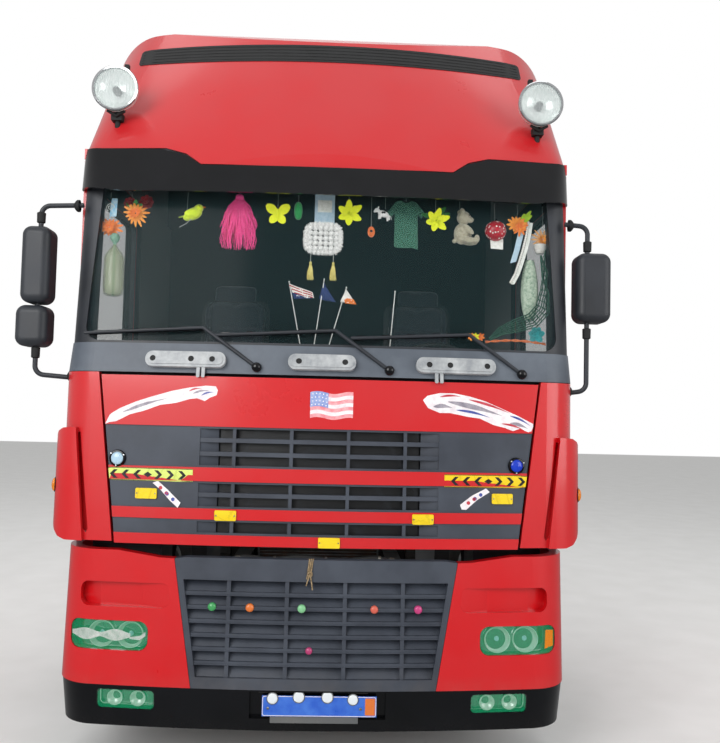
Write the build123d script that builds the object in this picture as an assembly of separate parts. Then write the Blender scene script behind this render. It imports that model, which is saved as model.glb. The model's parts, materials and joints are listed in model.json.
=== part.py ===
from build123d import *
import math
import os

# A cab-over road tractor with a high sleeper roof, one steered front axle and twin rear wheels.
# Millimetres. +Z is up, the front faces -Y and the vehicle's left side is +X.
# The origin is on the ground, under the middle of the overall box.

# Overall sizes
FRONT_OVERHANG = 1380.0
WHEELBASE = 3800.0
REAR_OVERHANG = 800.0
CAB_WIDTH = 2490.0
CAB_LENGTH = 2230.0
ROOF_TOP = 3810.0
ROOF_BASE = 3000.0

# Clearances
SHUT_LINE = 7.0
RUNNING = 0.05
MOVING_GAP = 8.0

# Frame rails
RAIL_OUTER = 400.0
RAIL_HEIGHT = 260.0
RAIL_FLANGE = 75.0
RAIL_WALL = 8.0
RAIL_TOP = 1000.0
RAIL_START = 175.0

# Wheels
TYRE_RADIUS = 538.0
TYRE_WIDTH = 315.0
RIM_RADIUS = 286.0
RIM_WIDTH = 228.0
RIM_WALL = 9.0
DISC_WALL = 12.0
HUB_RADIUS = 140.0
FRONT_TRACK = 2050.0
REAR_TRACK = 1830.0
TWIN_SPACING = 350.0
KINGPIN_X = 860.0
KINGPIN_RADIUS = 24.0
STEER_ARM = 200.0
TIE_ROD_Z = 400.0
SPINDLE_RADIUS = 40.0
REAR_SPINDLE_RADIUS = 50.0

# Cab panels
DOOR_HALF = 1232.0
PANEL = 60.0
DOOR_FRONT = 345.0
DOOR_LENGTH = 945.0
DOOR_BOTTOM = 1250.0
DOOR_TOP = 2940.0
FLOOR_TOP = 1440.0
FLOOR_WALL = 40.0
WINDOW_BOTTOM = 1960.0
WINDOW_TOP = 2800.0
WINDOW_BORDER = 95.0
SEAL_WIDTH = 18.0
SEAL_DEPTH = 5.0
GLASS = 6.0
WAIST = 1880.0
CREASE = (1868.0, 1884.0)
CREASE_DEPTH = 5.0
SWAGE_DEPTH = 9.0
SCREEN_BOTTOM = 2007.0
SCREEN_TOP = 2850.0

# Front end, heights from the ground
APRON_BOTTOM = 245.0
APRON_TOP = 433.0
BUMPER_TOP = 1040.0
GRILLE_TOP = 1018.0
FLAP_BOTTOM = 1071.0
FLAP_TOP = 1852.0
FLAP_PAINT_BOTTOM = 1618.0
FLAP_HALF = (943.0, 1041.0)
FLAP_GAP = 12.0
CHEEK_START = 475.0
CHEEK_END = 572.0
SCUTTLE_BOTTOM = 1867.0
SLOT_LINE = (1092.0, 1148.0)
SLOT_WIDTH = 16.0
VANE_TOP = 1600.0
BUMPER_WALL = 50.0
PAD_DEPTH = 95.0
TILT_DEPTH = 170.0
TILT_Z = 780.0
TILT_PIN_RADIUS = 22.0

# Fifth wheel
PLATE_TOP = 1180.0
PLATE_AHEAD = 600.0
KINGPIN_BORE = 25.4
PLATE_PIVOT_DROP = 95.0

LENGTH = FRONT_OVERHANG + WHEELBASE + REAR_OVERHANG
FACE = -LENGTH / 2
TAIL = LENGTH / 2
FRONT_AXLE = FACE + FRONT_OVERHANG
REAR_AXLE = FRONT_AXLE + WHEELBASE
HALF_CAB = CAB_WIDTH / 2
CAB_BACK = FACE + CAB_LENGTH
RAIL_BOTTOM = RAIL_TOP - RAIL_HEIGHT
AXLE_Z = TYRE_RADIUS


# Bent front walls at their lower and upper edges:
# z, half width, depth of the middle, depth where the sides end, bow, corner radius
APRON_LOW = (APRON_BOTTOM, 1185.0, 25.0, 450.0, 85.0, 190.0)
APRON_HIGH = (APRON_TOP, 1198.0, 2.0, 450.0, 85.0, 190.0)
BUMPER_LOW = (APRON_TOP, 1205.0, 0.0, 450.0, 90.0, 200.0)
BUMPER_HIGH = (BUMPER_TOP, 1195.0, 16.0, 450.0, 90.0, 210.0)
FLAP_LOW = (FLAP_BOTTOM, 1245.0, 30.0, 900.0, 95.0, 190.0)
FLAP_HIGH = (FLAP_TOP, 1235.0, 52.0, 900.0, 95.0, 190.0)
CORNER_LOW = (FLAP_BOTTOM + 7, 1245.0, 31.0, 900.0, 95.0, 190.0)
CORNER_HIGH = (SCUTTLE_BOTTOM - 3, 1245.0, 53.0, 900.0, 95.0, 185.0)
VANE_LOW = (FLAP_BOTTOM + 7, 1275.0, 12.0, 900.0, 95.0, 170.0)
VANE_HIGH = (VANE_TOP, 1275.0, 28.0, 900.0, 95.0, 170.0)
SCUTTLE_LOW = (SCUTTLE_BOTTOM, 1245.0, 56.0, 900.0, 95.0, 180.0)
SCUTTLE_HIGH = (SCREEN_BOTTOM, 1240.0, 92.0, 900.0, 95.0, 175.0)
PILLAR_LOW = (SCREEN_BOTTOM, 1236.0, 100.0, 900.0, 95.0, 165.0)
PILLAR_HIGH = (ROOF_BASE, 1218.0, 258.0, 900.0, 75.0, 60.0)
VISOR_LOW = (2746.0, 1232.0, 120.0, 900.0, 90.0, 150.0)
VISOR_HIGH = (ROOF_BASE, 1240.0, 240.0, 900.0, 78.0, 88.0)


def span(low, high):
    return (low + high) / 2, high - low


def block(x, y, z):
    """A block between two limits along each axis."""
    (cx, dx), (cy, dy), (cz, dz) = span(*x), span(*y), span(*z)
    return Pos(cx, cy, cz) * Box(dx, dy, dz)


def profile_x(points, x0, x1):
    """A side outline of (y, z) points carried along X."""
    face = make_face(Polyline(*[(x0, y, z) for y, z in points], close=True))
    return extrude(face, amount=x1 - x0, dir=(1, 0, 0))


def profile_y(points, y0, y1):
    """A front outline of (x, z) points carried along Y."""
    face = make_face(Polyline(*[(x, y0, z) for x, z in points], close=True))
    return extrude(face, amount=y1 - y0, dir=(0, 1, 0))


def profile_z(points, z0, z1):
    """A plan outline of (x, y) points carried up Z."""
    face = make_face(Polyline(*[(x, y, z0) for x, y in points], close=True))
    return extrude(face, amount=z1 - z0, dir=(0, 0, 1))


def rod(start, end, radius):
    """A round bar between two points."""
    start, end = Vector(*start), Vector(*end)
    along = end - start
    return Plane(start, z_dir=along) * Cylinder(radius, along.length, align=(Align.CENTER, Align.CENTER, Align.MIN))


def bent_tube(points, radius, bend):
    """A round bar that follows straight runs joined by arcs."""
    path = FilletPolyline(*points, radius=bend)
    section = Plane(path @ 0, z_dir=path % 0) * Circle(radius)
    return sweep(section, path=path)


def turned_x(points, centre_y, centre_z):
    """A ring turned about an axis along X from (x, radius) points."""
    face = make_face(Polyline(*[(x, centre_y, centre_z + r) for x, r in points], close=True))
    return revolve(face, Axis((0, centre_y, centre_z), (1, 0, 0)), 360)


def mirrored(shape):
    return mirror(shape, about=Plane.YZ)


def both(shape):
    """The left piece and its mirror image on the right."""
    return [shape, mirrored(shape)]


# A bent front wall is described at one height by these columns:
# z, half width, depth of its middle behind the bumper face, depth of its ends, bow, corner radius
def plan_face(z, half, front, back, bow, corner):
    ends = FACE + front + bow
    arc = ThreePointArc((-half, ends), (0, FACE + front), (half, ends))
    sides = Polyline((half, ends), (half, FACE + back), (-half, FACE + back), (-half, ends))
    face = make_face(arc.edges() + sides.edges())
    tips = face.vertices().sort_by(Axis.Y)[:2]
    return Pos(0, 0, z) * fillet(tips, corner)


def bent_block(low, high, inset=0.0, stretch=0.0):
    """The whole form behind a bent front between two heights."""
    faces = []
    for z, half, front, back, bow, corner in (low, high):
        faces.append(plan_face(z, half - inset, front + inset, back + stretch, bow, corner - inset))
    return loft(faces, ruled=True)


def bent_wall(low, high, wall, setback=0.0):
    """A wall bent round the front between two heights, open at its back."""
    return bent_block(low, high, setback) - bent_block(low, high, setback + wall, stretch=50)


def rounded_slab(x, z, radius, y0=FACE - 50, y1=FACE + 900):
    """A window-shaped block, rounded as seen from the front."""
    (cx, dx), (cz, dz) = span(*x), span(*z)
    face = Plane(origin=(cx, y0, cz), x_dir=(1, 0, 0), z_dir=(0, -1, 0)) * RectangleRounded(dx, dz, radius)
    return extrude(face, amount=y1 - y0, dir=(0, 1, 0))


nodes = {}


def keep(name, *shapes):
    """File the solids of one piece under its name."""
    found = []
    for shape in shapes:
        if isinstance(shape, (list, tuple)):
            for item in shape:
                found.extend(item.solids())
        else:
            found.extend(shape.solids())
    nodes[name] = found


# Frame
def make_frame():
    y0, y1 = FACE + RAIL_START, TAIL - 130
    web = RAIL_OUTER - RAIL_WALL
    inner = RAIL_OUTER - RAIL_FLANGE
    channel = [
        (RAIL_OUTER, RAIL_BOTTOM), (RAIL_OUTER, RAIL_TOP), (inner, RAIL_TOP),
        (inner, RAIL_TOP - RAIL_WALL), (web, RAIL_TOP - RAIL_WALL),
        (web, RAIL_BOTTOM + RAIL_WALL), (inner, RAIL_BOTTOM + RAIL_WALL), (inner, RAIL_BOTTOM),
    ]
    keep("frame_rails", both(profile_y(channel, y0, y1)))
    # depth behind the bumper face of each cross member, its half height and its length along the frame
    rows = [(RAIL_START + 60, 60, 70), (2860, 90, 80), (3450, 90, 80), (4250, 90, 80), (5300, 90, 80), (5800, 90, 80)]
    middle = (RAIL_TOP + RAIL_BOTTOM) / 2
    members = []
    for depth, half, run in rows:
        y = FACE + depth
        outer = block((-web, web), (y - run / 2, y + run / 2), (middle - half, middle + half))
        members.append(outer - block((-web, web), (y - run / 2 + 8, y + run), (middle - half + 8, middle + half - 8)))
    keep("cross_members", members)
    pin_y = FACE + TILT_DEPTH
    ear = profile_x([
        (pin_y - 45, TILT_Z - 40), (pin_y + 160, TILT_Z - 40), (pin_y + 160, TILT_Z + 150), (pin_y + 60, TILT_Z + 150),
        (pin_y - 45, TILT_Z + 45),
    ], RAIL_OUTER, RAIL_OUTER + 22)
    pin = rod((RAIL_OUTER + 10, pin_y, TILT_Z), (RAIL_OUTER + 115, pin_y, TILT_Z), TILT_PIN_RADIUS)
    head = rod((RAIL_OUTER + 107, pin_y, TILT_Z), (RAIL_OUTER + 119, pin_y, TILT_Z), TILT_PIN_RADIUS + 10)
    bearer = block((RAIL_OUTER - 60, RAIL_OUTER), (FACE + PAD_DEPTH, FACE + RAIL_START), (APRON_TOP + 8, RAIL_TOP))
    foot = (FACE + RAIL_START - 5, FACE + RAIL_START + 90)
    bearer += block((RAIL_OUTER - 60, RAIL_OUTER + 22), foot, (APRON_TOP + 8, RAIL_BOTTOM))
    bar = block((-1105, 1105), (FACE + 200, FACE + 260), (500, 560))
    keep("front_brackets", ear + pin + head + mirrored(ear + pin + head) + bearer + mirrored(bearer) + bar)


# Axles, suspension and steering
def make_front_axle():
    half_x = KINGPIN_X - 42
    y0, y1 = FRONT_AXLE - 55, FRONT_AXLE + 55
    top = [(-half_x, 583), (-half_x + 40, 583), (-640, 470), (-520, 455), (520, 455), (640, 470), (half_x - 40, 583), (half_x, 583)]
    bottom = [(half_x, 477), (half_x - 70, 477), (620, 375), (520, 355), (-520, 355), (-620, 375), (-half_x + 70, 477), (-half_x, 477)]
    beam = profile_y(top + bottom, y0, y1)
    for side in (-1, 1):
        eye = Pos(side * KINGPIN_X, FRONT_AXLE, 530) * Cylinder(58, 110)
        beam += eye
        beam += block(sorted((side * (half_x - 30), side * KINGPIN_X)), (FRONT_AXLE - 50, FRONT_AXLE + 50), (480, 580))
        beam -= Pos(side * KINGPIN_X, FRONT_AXLE, 530) * Cylinder(KINGPIN_RADIUS + RUNNING, 130)
    keep("front_axle", beam)


def leaf_spring(x, y, seat_z, half_run, rise):
    eye_z = seat_z + rise
    leaf = 16
    points = [(y - half_run, eye_z), (y - 60, seat_z + 8), (y + 60, seat_z + 8), (y + half_run, eye_z)]
    low = [(py, pz - leaf / 2) for py, pz in points]
    high = [(py, pz + leaf / 2) for py, pz in reversed(points)]
    shape = profile_x(low + high, x - 45, x + 45)
    second = [(y - half_run * 0.7, eye_z - rise * 0.36 + 4)] + [(y - 60, seat_z + 38), (y + 60, seat_z + 38)]
    second += [(y + half_run * 0.7, eye_z - rise * 0.36 + 4)]
    shape += profile_x([(py, pz - leaf) for py, pz in second] + [(py, pz) for py, pz in reversed(second)], x - 40, x + 40)
    shape += block((x - 48, x + 48), (y - 55, y + 55), (seat_z, seat_z + 70))
    for end in (-1, 1):
        hanger_y = y + end * half_run
        shape += rod((x - 46, hanger_y, eye_z), (x + 46, hanger_y, eye_z), 38)
        shape += block((x - 52, x - 2), (hanger_y - 45, hanger_y + 45), (eye_z, RAIL_BOTTOM))
    return shape


def make_suspension():
    spring_x = RAIL_OUTER + 6
    front = leaf_spring(spring_x, FRONT_AXLE, 455, 760, 210)
    shock = rod((spring_x + 95, FRONT_AXLE - 150, 430), (spring_x + 95, FRONT_AXLE - 150, 700), 34)
    shock += rod((spring_x + 95, FRONT_AXLE - 150, 700), (spring_x + 95, FRONT_AXLE - 150, 860), 40)
    shock += block((RAIL_OUTER, spring_x + 135), (FRONT_AXLE - 190, FRONT_AXLE - 110), (845, 885))
    shock += block((spring_x + 20, spring_x + 130), (FRONT_AXLE - 185, FRONT_AXLE - 55), (405, 440))
    # rear: two bellows a side on a long arm under the axle, with a hanger ahead
    arm_x = 470
    arm = profile_x([
        (REAR_AXLE - 700, 600), (REAR_AXLE - 640, 690), (REAR_AXLE - 120, 470), (REAR_AXLE + 120, 470),
        (REAR_AXLE + 480, 400), (REAR_AXLE + 480, 370), (REAR_AXLE - 120, 400),
    ], arm_x - 40, arm_x + 40)
    arm += block((RAIL_OUTER, arm_x + 46), (REAR_AXLE - 730, REAR_AXLE - 610), (560, 860))
    bellows = Pos(arm_x, REAR_AXLE + 390, 395) * Cylinder(70, 100, align=(Align.CENTER, Align.CENTER, Align.MIN))
    bellows += Pos(arm_x, REAR_AXLE + 390, 480) * Cylinder(100, 200, align=(Align.CENTER, Align.CENTER, Align.MIN))
    bellows += block((RAIL_OUTER, arm_x + 60), (REAR_AXLE + 310, REAR_AXLE + 470), (680, 745))
    keep("suspension", both(front), both(shock), both(arm + bellows))


def make_rear_axle():
    tube = rod((-800, REAR_AXLE, AXLE_Z), (800, REAR_AXLE, AXLE_Z), 66)
    bowl = turned_x([(-150, 0), (-150, 90), (-90, 190), (90, 190), (150, 90), (150, 0)], REAR_AXLE, AXLE_Z)
    nose = rod((0, REAR_AXLE - 100, AXLE_Z), (0, REAR_AXLE - 380, AXLE_Z + 20), 95)
    flange = rod((0, REAR_AXLE - 350, AXLE_Z + 20), (0, REAR_AXLE - 410, AXLE_Z + 20), 62)
    spindle = rod((-1050, REAR_AXLE, AXLE_Z), (1050, REAR_AXLE, AXLE_Z), REAR_SPINDLE_RADIUS)
    keep("rear_axle", tube + bowl + nose + flange + spindle)
    front, back, yoke = FACE + 2760, REAR_AXLE - 410, 40
    shaft = rod((0, front + yoke - 10, 700), (0, back - yoke + 10, AXLE_Z + 20), 48)
    shaft += rod((0, front, 700), (0, front + yoke, 700), 62) + rod((0, back - yoke, AXLE_Z + 20), (0, back, AXLE_Z + 20), 62)
    keep("drive_shaft", shaft)


def make_knuckles():
    for name, side in (("left", 1), ("right", -1)):
        x = side * KINGPIN_X
        pin = Pos(x, FRONT_AXLE, 530) * Cylinder(KINGPIN_RADIUS, 190)
        upper = Pos(x, FRONT_AXLE, 610) * Cylinder(50, 44)
        lower = Pos(x, FRONT_AXLE, 448) * Cylinder(50, 44)
        bridge_x = sorted((x + side * 30, x + side * 105))
        body = block(sorted((x + side * 66, x + side * 105)), (FRONT_AXLE - 60, FRONT_AXLE + 60), (426, 632))
        body += block(bridge_x, (FRONT_AXLE - 45, FRONT_AXLE + 45), (590, 632))
        body += block(bridge_x, (FRONT_AXLE - 45, FRONT_AXLE + 45), (426, 466))
        spindle = rod((x + side * 100, FRONT_AXLE, AXLE_Z), (x + side * 262, FRONT_AXLE, AXLE_Z), SPINDLE_RADIUS)
        arm = block((x - 20, x + 20), (FRONT_AXLE + 20, FRONT_AXLE + STEER_ARM + 24), (430, 460))
        ball = rod((x, FRONT_AXLE + STEER_ARM, 445), (x, FRONT_AXLE + STEER_ARM, TIE_ROD_Z - 28), 12)
        keep("knuckle_" + name, pin + upper + lower + body + spindle + arm + ball)
    y = FRONT_AXLE + STEER_ARM
    rod_half = KINGPIN_X - 44
    bar = rod((-rod_half, y, TIE_ROD_Z), (rod_half, y, TIE_ROD_Z), 20)
    for side in (-1, 1):
        end = Pos(side * KINGPIN_X, y, TIE_ROD_Z) * Cylinder(32, 34)
        bar += rod((side * (rod_half - 10), y, TIE_ROD_Z), (side * (KINGPIN_X - 20), y, TIE_ROD_Z), 14)
        bar += end
        bar -= Pos(side * KINGPIN_X, y, TIE_ROD_Z) * Cylinder(12 + RUNNING, 60)
    keep("tie_rod", bar)


# Wheels
def tyre(centre_x, y):
    half = TYRE_WIDTH / 2
    bead = RIM_WIDTH / 2 - 14
    inner = RIM_RADIUS
    pts = [
        (centre_x - bead, inner), (centre_x - bead, inner + 16), (centre_x - half + 14, inner + 60),
        (centre_x - half, inner + 125), (centre_x - half + 12, TYRE_RADIUS - 38), (centre_x - half + 30, TYRE_RADIUS - 10),
        (centre_x - half + 46, TYRE_RADIUS - 4), (centre_x, TYRE_RADIUS),
    ]
    other = [(2 * centre_x - px, pr) for px, pr in reversed(pts[:-1])]
    return turned_x(pts + other, y, AXLE_Z)


def rim(centre_x, y, side, disc_x):
    """A steel rim whose disc's outer face is at disc_x, dished towards side."""
    w = RIM_WIDTH / 2
    r = RIM_RADIUS
    barrel = turned_x([
        (centre_x - w - 6, r + 12), (centre_x - w, r + 12), (centre_x - w + 8, r - 2), (centre_x + w - 8, r - 2),
        (centre_x + w, r + 12), (centre_x + w + 6, r + 12), (centre_x + w - 2, r - RIM_WALL - 2),
        (centre_x - w + 2, r - RIM_WALL - 2),
    ], y, AXLE_Z)
    root_x = disc_x - side * 90
    disc = turned_x([
        (disc_x, HUB_RADIUS), (disc_x, 205), (disc_x - side * 25, 245), (root_x, r - RIM_WALL + 1),
        (root_x - side * DISC_WALL, r - RIM_WALL + 1), (disc_x - side * (25 + DISC_WALL), 238),
        (disc_x - side * DISC_WALL, 195), (disc_x - side * DISC_WALL, HUB_RADIUS),
    ], y, AXLE_Z)
    for index in range(10):
        angle = math.radians(36 * index)
        hy, hz = y + 230 * math.cos(angle), AXLE_Z + 230 * math.sin(angle)
        disc -= rod((disc_x + side * 30, hy, hz), (disc_x - side * 90, hy, hz), 22)
    return barrel + disc


def make_wheels():
    for name, side in (("left", 1), ("right", -1)):
        x = side * FRONT_TRACK / 2
        disc_x = x + side * 160
        keep("front_tyre_" + name, tyre(x, FRONT_AXLE))
        bore = SPINDLE_RADIUS + RUNNING
        hub = turned_x([
            (x - side * 45, bore), (x - side * 45, 120), (disc_x - side * DISC_WALL - side * 10, 150),
            (disc_x - side * DISC_WALL, 165), (disc_x, HUB_RADIUS), (disc_x + side * 20, 95), (disc_x + side * 30, 60),
            (disc_x + side * 34, 0), (disc_x + side * 10, 0), (disc_x + side * 10, bore),
        ], FRONT_AXLE, AXLE_Z)
        keep("front_rim_" + name, rim(x, FRONT_AXLE, side, disc_x) + hub)
        middle = side * REAR_TRACK / 2
        inner_x, outer_x = middle - side * TWIN_SPACING / 2, middle + side * TWIN_SPACING / 2
        keep("rear_tyres_" + name, tyre(inner_x, REAR_AXLE), tyre(outer_x, REAR_AXLE))
        bore = REAR_SPINDLE_RADIUS + RUNNING
        rims = rim(inner_x, REAR_AXLE, side, middle) + rim(outer_x, REAR_AXLE, -side, middle)
        hub = turned_x([
            (middle - side * 70, bore), (middle - side * 70, 110), (middle - side * 15, 150), (middle - side * 12, 165),
            (middle + side * 12, 165), (middle + side * 12, HUB_RADIUS), (middle + side * 130, 118), (middle + side * 150, 90),
            (middle + side * 160, 0), (middle + side * 142, 0), (middle + side * 142, bore),
        ], REAR_AXLE, AXLE_Z)
        keep("rear_rims_" + name, rims + hub)


# Engine, tanks and fittings on the frame
def make_running_gear():
    engine = block((-310, 310), (FACE + 620, FACE + 1850), (560, 1300))
    engine += block((-250, 250), (FACE + 700, FACE + 1750), (1290, 1365))
    engine += profile_x([
        (FACE + 1850, 620), (FACE + 1850, 1040), (FACE + 2150, 1000), (FACE + 2760, 820), (FACE + 2760, 600),
        (FACE + 2150, 560),
    ], -200, 200)
    core = block((-305, 305), (FACE + 430, FACE + 520), (600, 1330))
    core += block((-315, 315), (FACE + 415, FACE + 535), (1290, 1345))
    core += block((-200, 200), (FACE + 515, FACE + 625), (700, 1250))
    keep("engine", engine, core)
    tank_y = (FACE + 2420, FACE + 3900)
    (cx, dx), (cz, dz) = span(475, 1175), span(400, 1010)
    face = Plane(origin=(cx, tank_y[0], cz), x_dir=(1, 0, 0), z_dir=(0, -1, 0)) * RectangleRounded(dx, dz, 110)
    tank = extrude(face, amount=tank_y[1] - tank_y[0], dir=(0, 1, 0))
    tank += Pos(760, FACE + 2650, 1005) * Cylinder(48, 50)
    for depth in (2700, 3600):
        y = FACE + depth
        tank += block((RAIL_OUTER, 480), (y - 35, y + 35), (420, 980))
        tank += block((RAIL_OUTER, 1100), (y - 35, y + 35), (385, 402))
        band = Plane(origin=(cx, y - 25, cz), x_dir=(1, 0, 0), z_dir=(0, -1, 0)) * RectangleRounded(dx + 8, dz + 8, 114)
        tank += extrude(band, amount=50, dir=(0, 1, 0))
    keep("fuel_tank", tank)
    box = block((-1150, -480), (FACE + 2420, FACE + 3020), (560, 985))
    box += block((-1160, -470), (FACE + 2410, FACE + 3030), (985, 1010))
    box += block((-480, -RAIL_OUTER), (FACE + 2480, FACE + 2960), (760, 960))
    tanks = [box]
    for x in (-620, -930):
        bottle = rod((x, FACE + 2440, 430), (x, FACE + 3000, 430), 115)
        strap = rod((x, FACE + 2560, 430), (x, FACE + 2600, 430), 119)
        tanks.append(bottle + strap + block((x - 30, x + 30), (FACE + 2560, FACE + 2600), (500, 561)))
    keep("battery_and_air_tanks", tanks)
    can = block((-1150, -500), (FACE + 3150, FACE + 3800), (430, 985))
    can = fillet(can.edges().filter_by(Axis.X), 90)
    can += block((-510, -RAIL_OUTER), (FACE + 3250, FACE + 3700), (780, 940))
    can += bent_tube([(-820, FACE + 3780, 560), (-820, FACE + 3930, 560), (-1130, FACE + 4040, 560)], 55, 60)
    keep("silencer", can)
    deck = block((-430, 430), (FACE + 2380, FACE + 3380), (RAIL_TOP, RAIL_TOP + 32))
    deck -= block((-418, 418), (FACE + 2392, FACE + 3368), (RAIL_TOP - 5, RAIL_TOP + 28))
    deck += block((-RAIL_OUTER, -RAIL_OUTER + 60), (FACE + 2440, FACE + 3320), (RAIL_TOP, RAIL_TOP + 30))
    deck += block((RAIL_OUTER - 60, RAIL_OUTER), (FACE + 2440, FACE + 3320), (RAIL_TOP, RAIL_TOP + 30))
    for x in range(-360, 361, 90):
        deck += block((x - 6, x + 6), (FACE + 2400, FACE + 3360), (RAIL_TOP + 30, RAIL_TOP + 35))
    keep("catwalk", deck)


def arch(radius, wall, centre_y, x, start, end):
    """A mudguard's bent sheet, from one angle to another, measured from +Y towards +Z."""
    ring = Plane(origin=(x[0], centre_y, AXLE_Z), x_dir=(0, 1, 0), z_dir=(1, 0, 0))
    outer, inner = radius + wall, radius
    a0, a1 = math.radians(start), math.radians(end)
    middle = (a0 + a1) / 2
    def at(r, a):
        return (r * math.cos(a), r * math.sin(a))
    lines = [
        ThreePointArc(at(outer, a0), at(outer, middle), at(outer, a1)), Line(at(outer, a1), at(inner, a1)),
        ThreePointArc(at(inner, a1), at(inner, middle), at(inner, a0)), Line(at(inner, a0), at(outer, a0)),
    ]
    face = make_face([edge for line in lines for edge in line.edges()])
    return extrude(ring * face, amount=x[1] - x[0], dir=(1, 0, 0))


def make_rear_fittings():
    wing_x = (REAR_TRACK / 2 - TWIN_SPACING / 2 - TYRE_WIDTH / 2 - 10, HALF_CAB)
    wing = arch(590, 6, REAR_AXLE, wing_x, 8, 172)
    for angle in (35, 145):
        a = math.radians(angle)
        y, z = REAR_AXLE + 613 * math.cos(a), AXLE_Z + 613 * math.sin(a)
        wing += rod((RAIL_OUTER, y, z), (HALF_CAB - 60, y, z), 18)
    keep("rear_wings", both(wing))
    y0, y1 = TAIL - 130, TAIL - 30
    beam = block((-1180, 1180), (y0, y1), (640, 740))
    beam += block((-RAIL_OUTER, RAIL_OUTER), (y0, y1), (740, 960))
    keep("tail_beam", beam)
    lamp = block((720, 1150), (TAIL - 30, TAIL), (635, 755))
    for x in (863, 1007):
        lamp -= block((x - 2, x + 2), (TAIL - 8, TAIL + 5), (643, 747))
    keep("tail_lamps", both(lamp))


def make_fifth_wheel():
    y = REAR_AXLE - PLATE_AHEAD
    pivot_z = PLATE_TOP - PLATE_PIVOT_DROP
    base = block((-RAIL_OUTER - 40, RAIL_OUTER + 40), (y - 330, y + 330), (RAIL_TOP, RAIL_TOP + 14))
    ears = []
    for side in (-1, 1):
        for x0, x1 in ((300, 325), (395, 420)):
            xs = sorted((side * x0, side * x1))
            ear = profile_x([
                (y - 170, RAIL_TOP + 10), (y + 170, RAIL_TOP + 10), (y + 60, pivot_z + 20), (y - 60, pivot_z + 20),
            ], xs[0], xs[1])
            ears.append(ear)
        pin = rod((side * 296, y, pivot_z), (side * 424, y, pivot_z), 22)
        ears.append(pin)
    for piece in ears:
        base += piece
    keep("fifth_wheel_base", base)
    top = PLATE_TOP
    disc = Pos(0, y, top - 20) * Cylinder(455, 40)
    disc &= block((-445, 445), (y - 430, y + 455), (top - 60, top))
    plate = disc + block((-300, 300), (y + 100, y + 470), (top - 40, top))
    throat = profile_z([(-230, y + 480), (-30, y + 90), (-KINGPIN_BORE, y), (KINGPIN_BORE, y), (30, y + 90), (230, y + 480)], top - 80, top + 5)
    plate -= throat
    plate -= Pos(0, y, top - 30) * Cylinder(KINGPIN_BORE, 80)
    for side in (-1, 1):
        xs = sorted((side * 331, side * 389))
        lug = block(xs, (y - 40, y + 40), (pivot_z - 34, top - 30))
        plate += lug
        plate -= rod((xs[0] - 1, y, pivot_z), (xs[1] + 1, y, pivot_z), 22 + RUNNING)
    keep("fifth_wheel", plate)


# Steps and front wings, which stay on the frame when the cab tilts
def make_steps():
    step_y = (FACE + 458, FACE + 742)
    xs = (800.0, DOOR_HALF)
    box = block(xs, step_y, (300, 1195))
    for low, high in ((340, 600), (650, 900), (950, 1190)):
        box -= block((900, DOOR_HALF + 10), (step_y[0] + 25, step_y[1] - 25), (low, high))
    box += block((RAIL_OUTER, 820), (step_y[0] + 60, step_y[0] + 120), (800, 900))
    keep("entry_steps", both(box))
    keep("front_wings", both(arch(642, 6, FRONT_AXLE, xs, -12, 176) - box))


def make_bumper():
    everywhere = (FACE - 20, FACE + 460)
    wall = bent_wall(BUMPER_LOW, BUMPER_HIGH, BUMPER_WALL)
    seam = 2.0
    # front outline of the left corner: the grille's slanted edge inside, a dip over it, and the outside
    corner_outline = [
        (558 + seam, APRON_TOP), (653 + seam, 1010), (720, 1012), (918, BUMPER_TOP), (1300, BUMPER_TOP), (1300, APRON_TOP),
    ]
    lamp_cut = rounded_slab((763, 1135), (588, 721), 45)
    # the scoop deepens from the grille outwards
    scoop_cut = rounded_slab((668, 1090), (783, 895), 40)
    pocket = scoop_cut & profile_z([
        (660, FACE - 30), (660, FACE + 36), (800, FACE + 74), (1000, FACE + 108), (1095, FACE + 150), (1095, FACE - 30),
    ], 780, 900)
    corner = (wall & profile_y(corner_outline, *everywhere)) - lamp_cut - pocket
    corner += block((1050, 1170), (FACE + 200, FACE + 260), (560, 585))
    keep("bumper_corners", both(corner))
    lens = bent_wall(BUMPER_LOW, BUMPER_HIGH, 40, setback=4) & rounded_slab((765, 1133), (590, 719), 43)
    apron_wall = bent_wall(APRON_LOW, APRON_HIGH, BUMPER_WALL)
    fog_cut = rounded_slab((725, 990), (324, 413), 20)
    apron = apron_wall - fog_cut - mirrored(fog_cut)
    apron -= bent_wall(APRON_LOW, APRON_HIGH, 22) & block((-290, 330), everywhere, (300, 425))
    keep("bumper_apron", apron)
    fog = bent_wall(APRON_LOW, APRON_HIGH, 36, setback=5) & rounded_slab((727, 988), (326, 411), 18)
    keep("front_lamps", both(lens), both(fog))
    # the grille between the corners
    frame_outline = [(-558, APRON_TOP), (558, APRON_TOP), (653, 1010), (600, GRILLE_TOP), (-600, GRILLE_TOP), (-653, 1010)]
    open_outline = [(-540, 483), (540, 483), (610, 918), (-610, 918)]
    area = profile_y(open_outline, *everywhere)
    grille = (wall & profile_y(frame_outline, *everywhere)) - area
    for side in (-1, 1):
        for low, high in ((APRON_TOP + 10, 478), (925, RAIL_TOP - 5)):
            grille += block(sorted((side * 345, side * 395)), (FACE + 45, FACE + PAD_DEPTH), (low, high))
    slat_wall = bent_wall(BUMPER_LOW, BUMPER_HIGH, 34, setback=8)
    pitch = (918 - 483) / 7
    heights = [483 + pitch * index for index in range(1, 7)]
    bars = [block((-620, 620), everywhere, (z - 9, z + 9)) for z in heights]
    bars += [block((x - 9, x + 9), everywhere, (483, 918)) for x in (-400, -133, 133, 400)]
    lattice = (Part() + bars) & area
    keep("bumper_grille", grille + (slat_wall & lattice))
    keep("number_plate", block((-232, 288), (FACE + 10, FACE + 14), (316, 408)))


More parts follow.
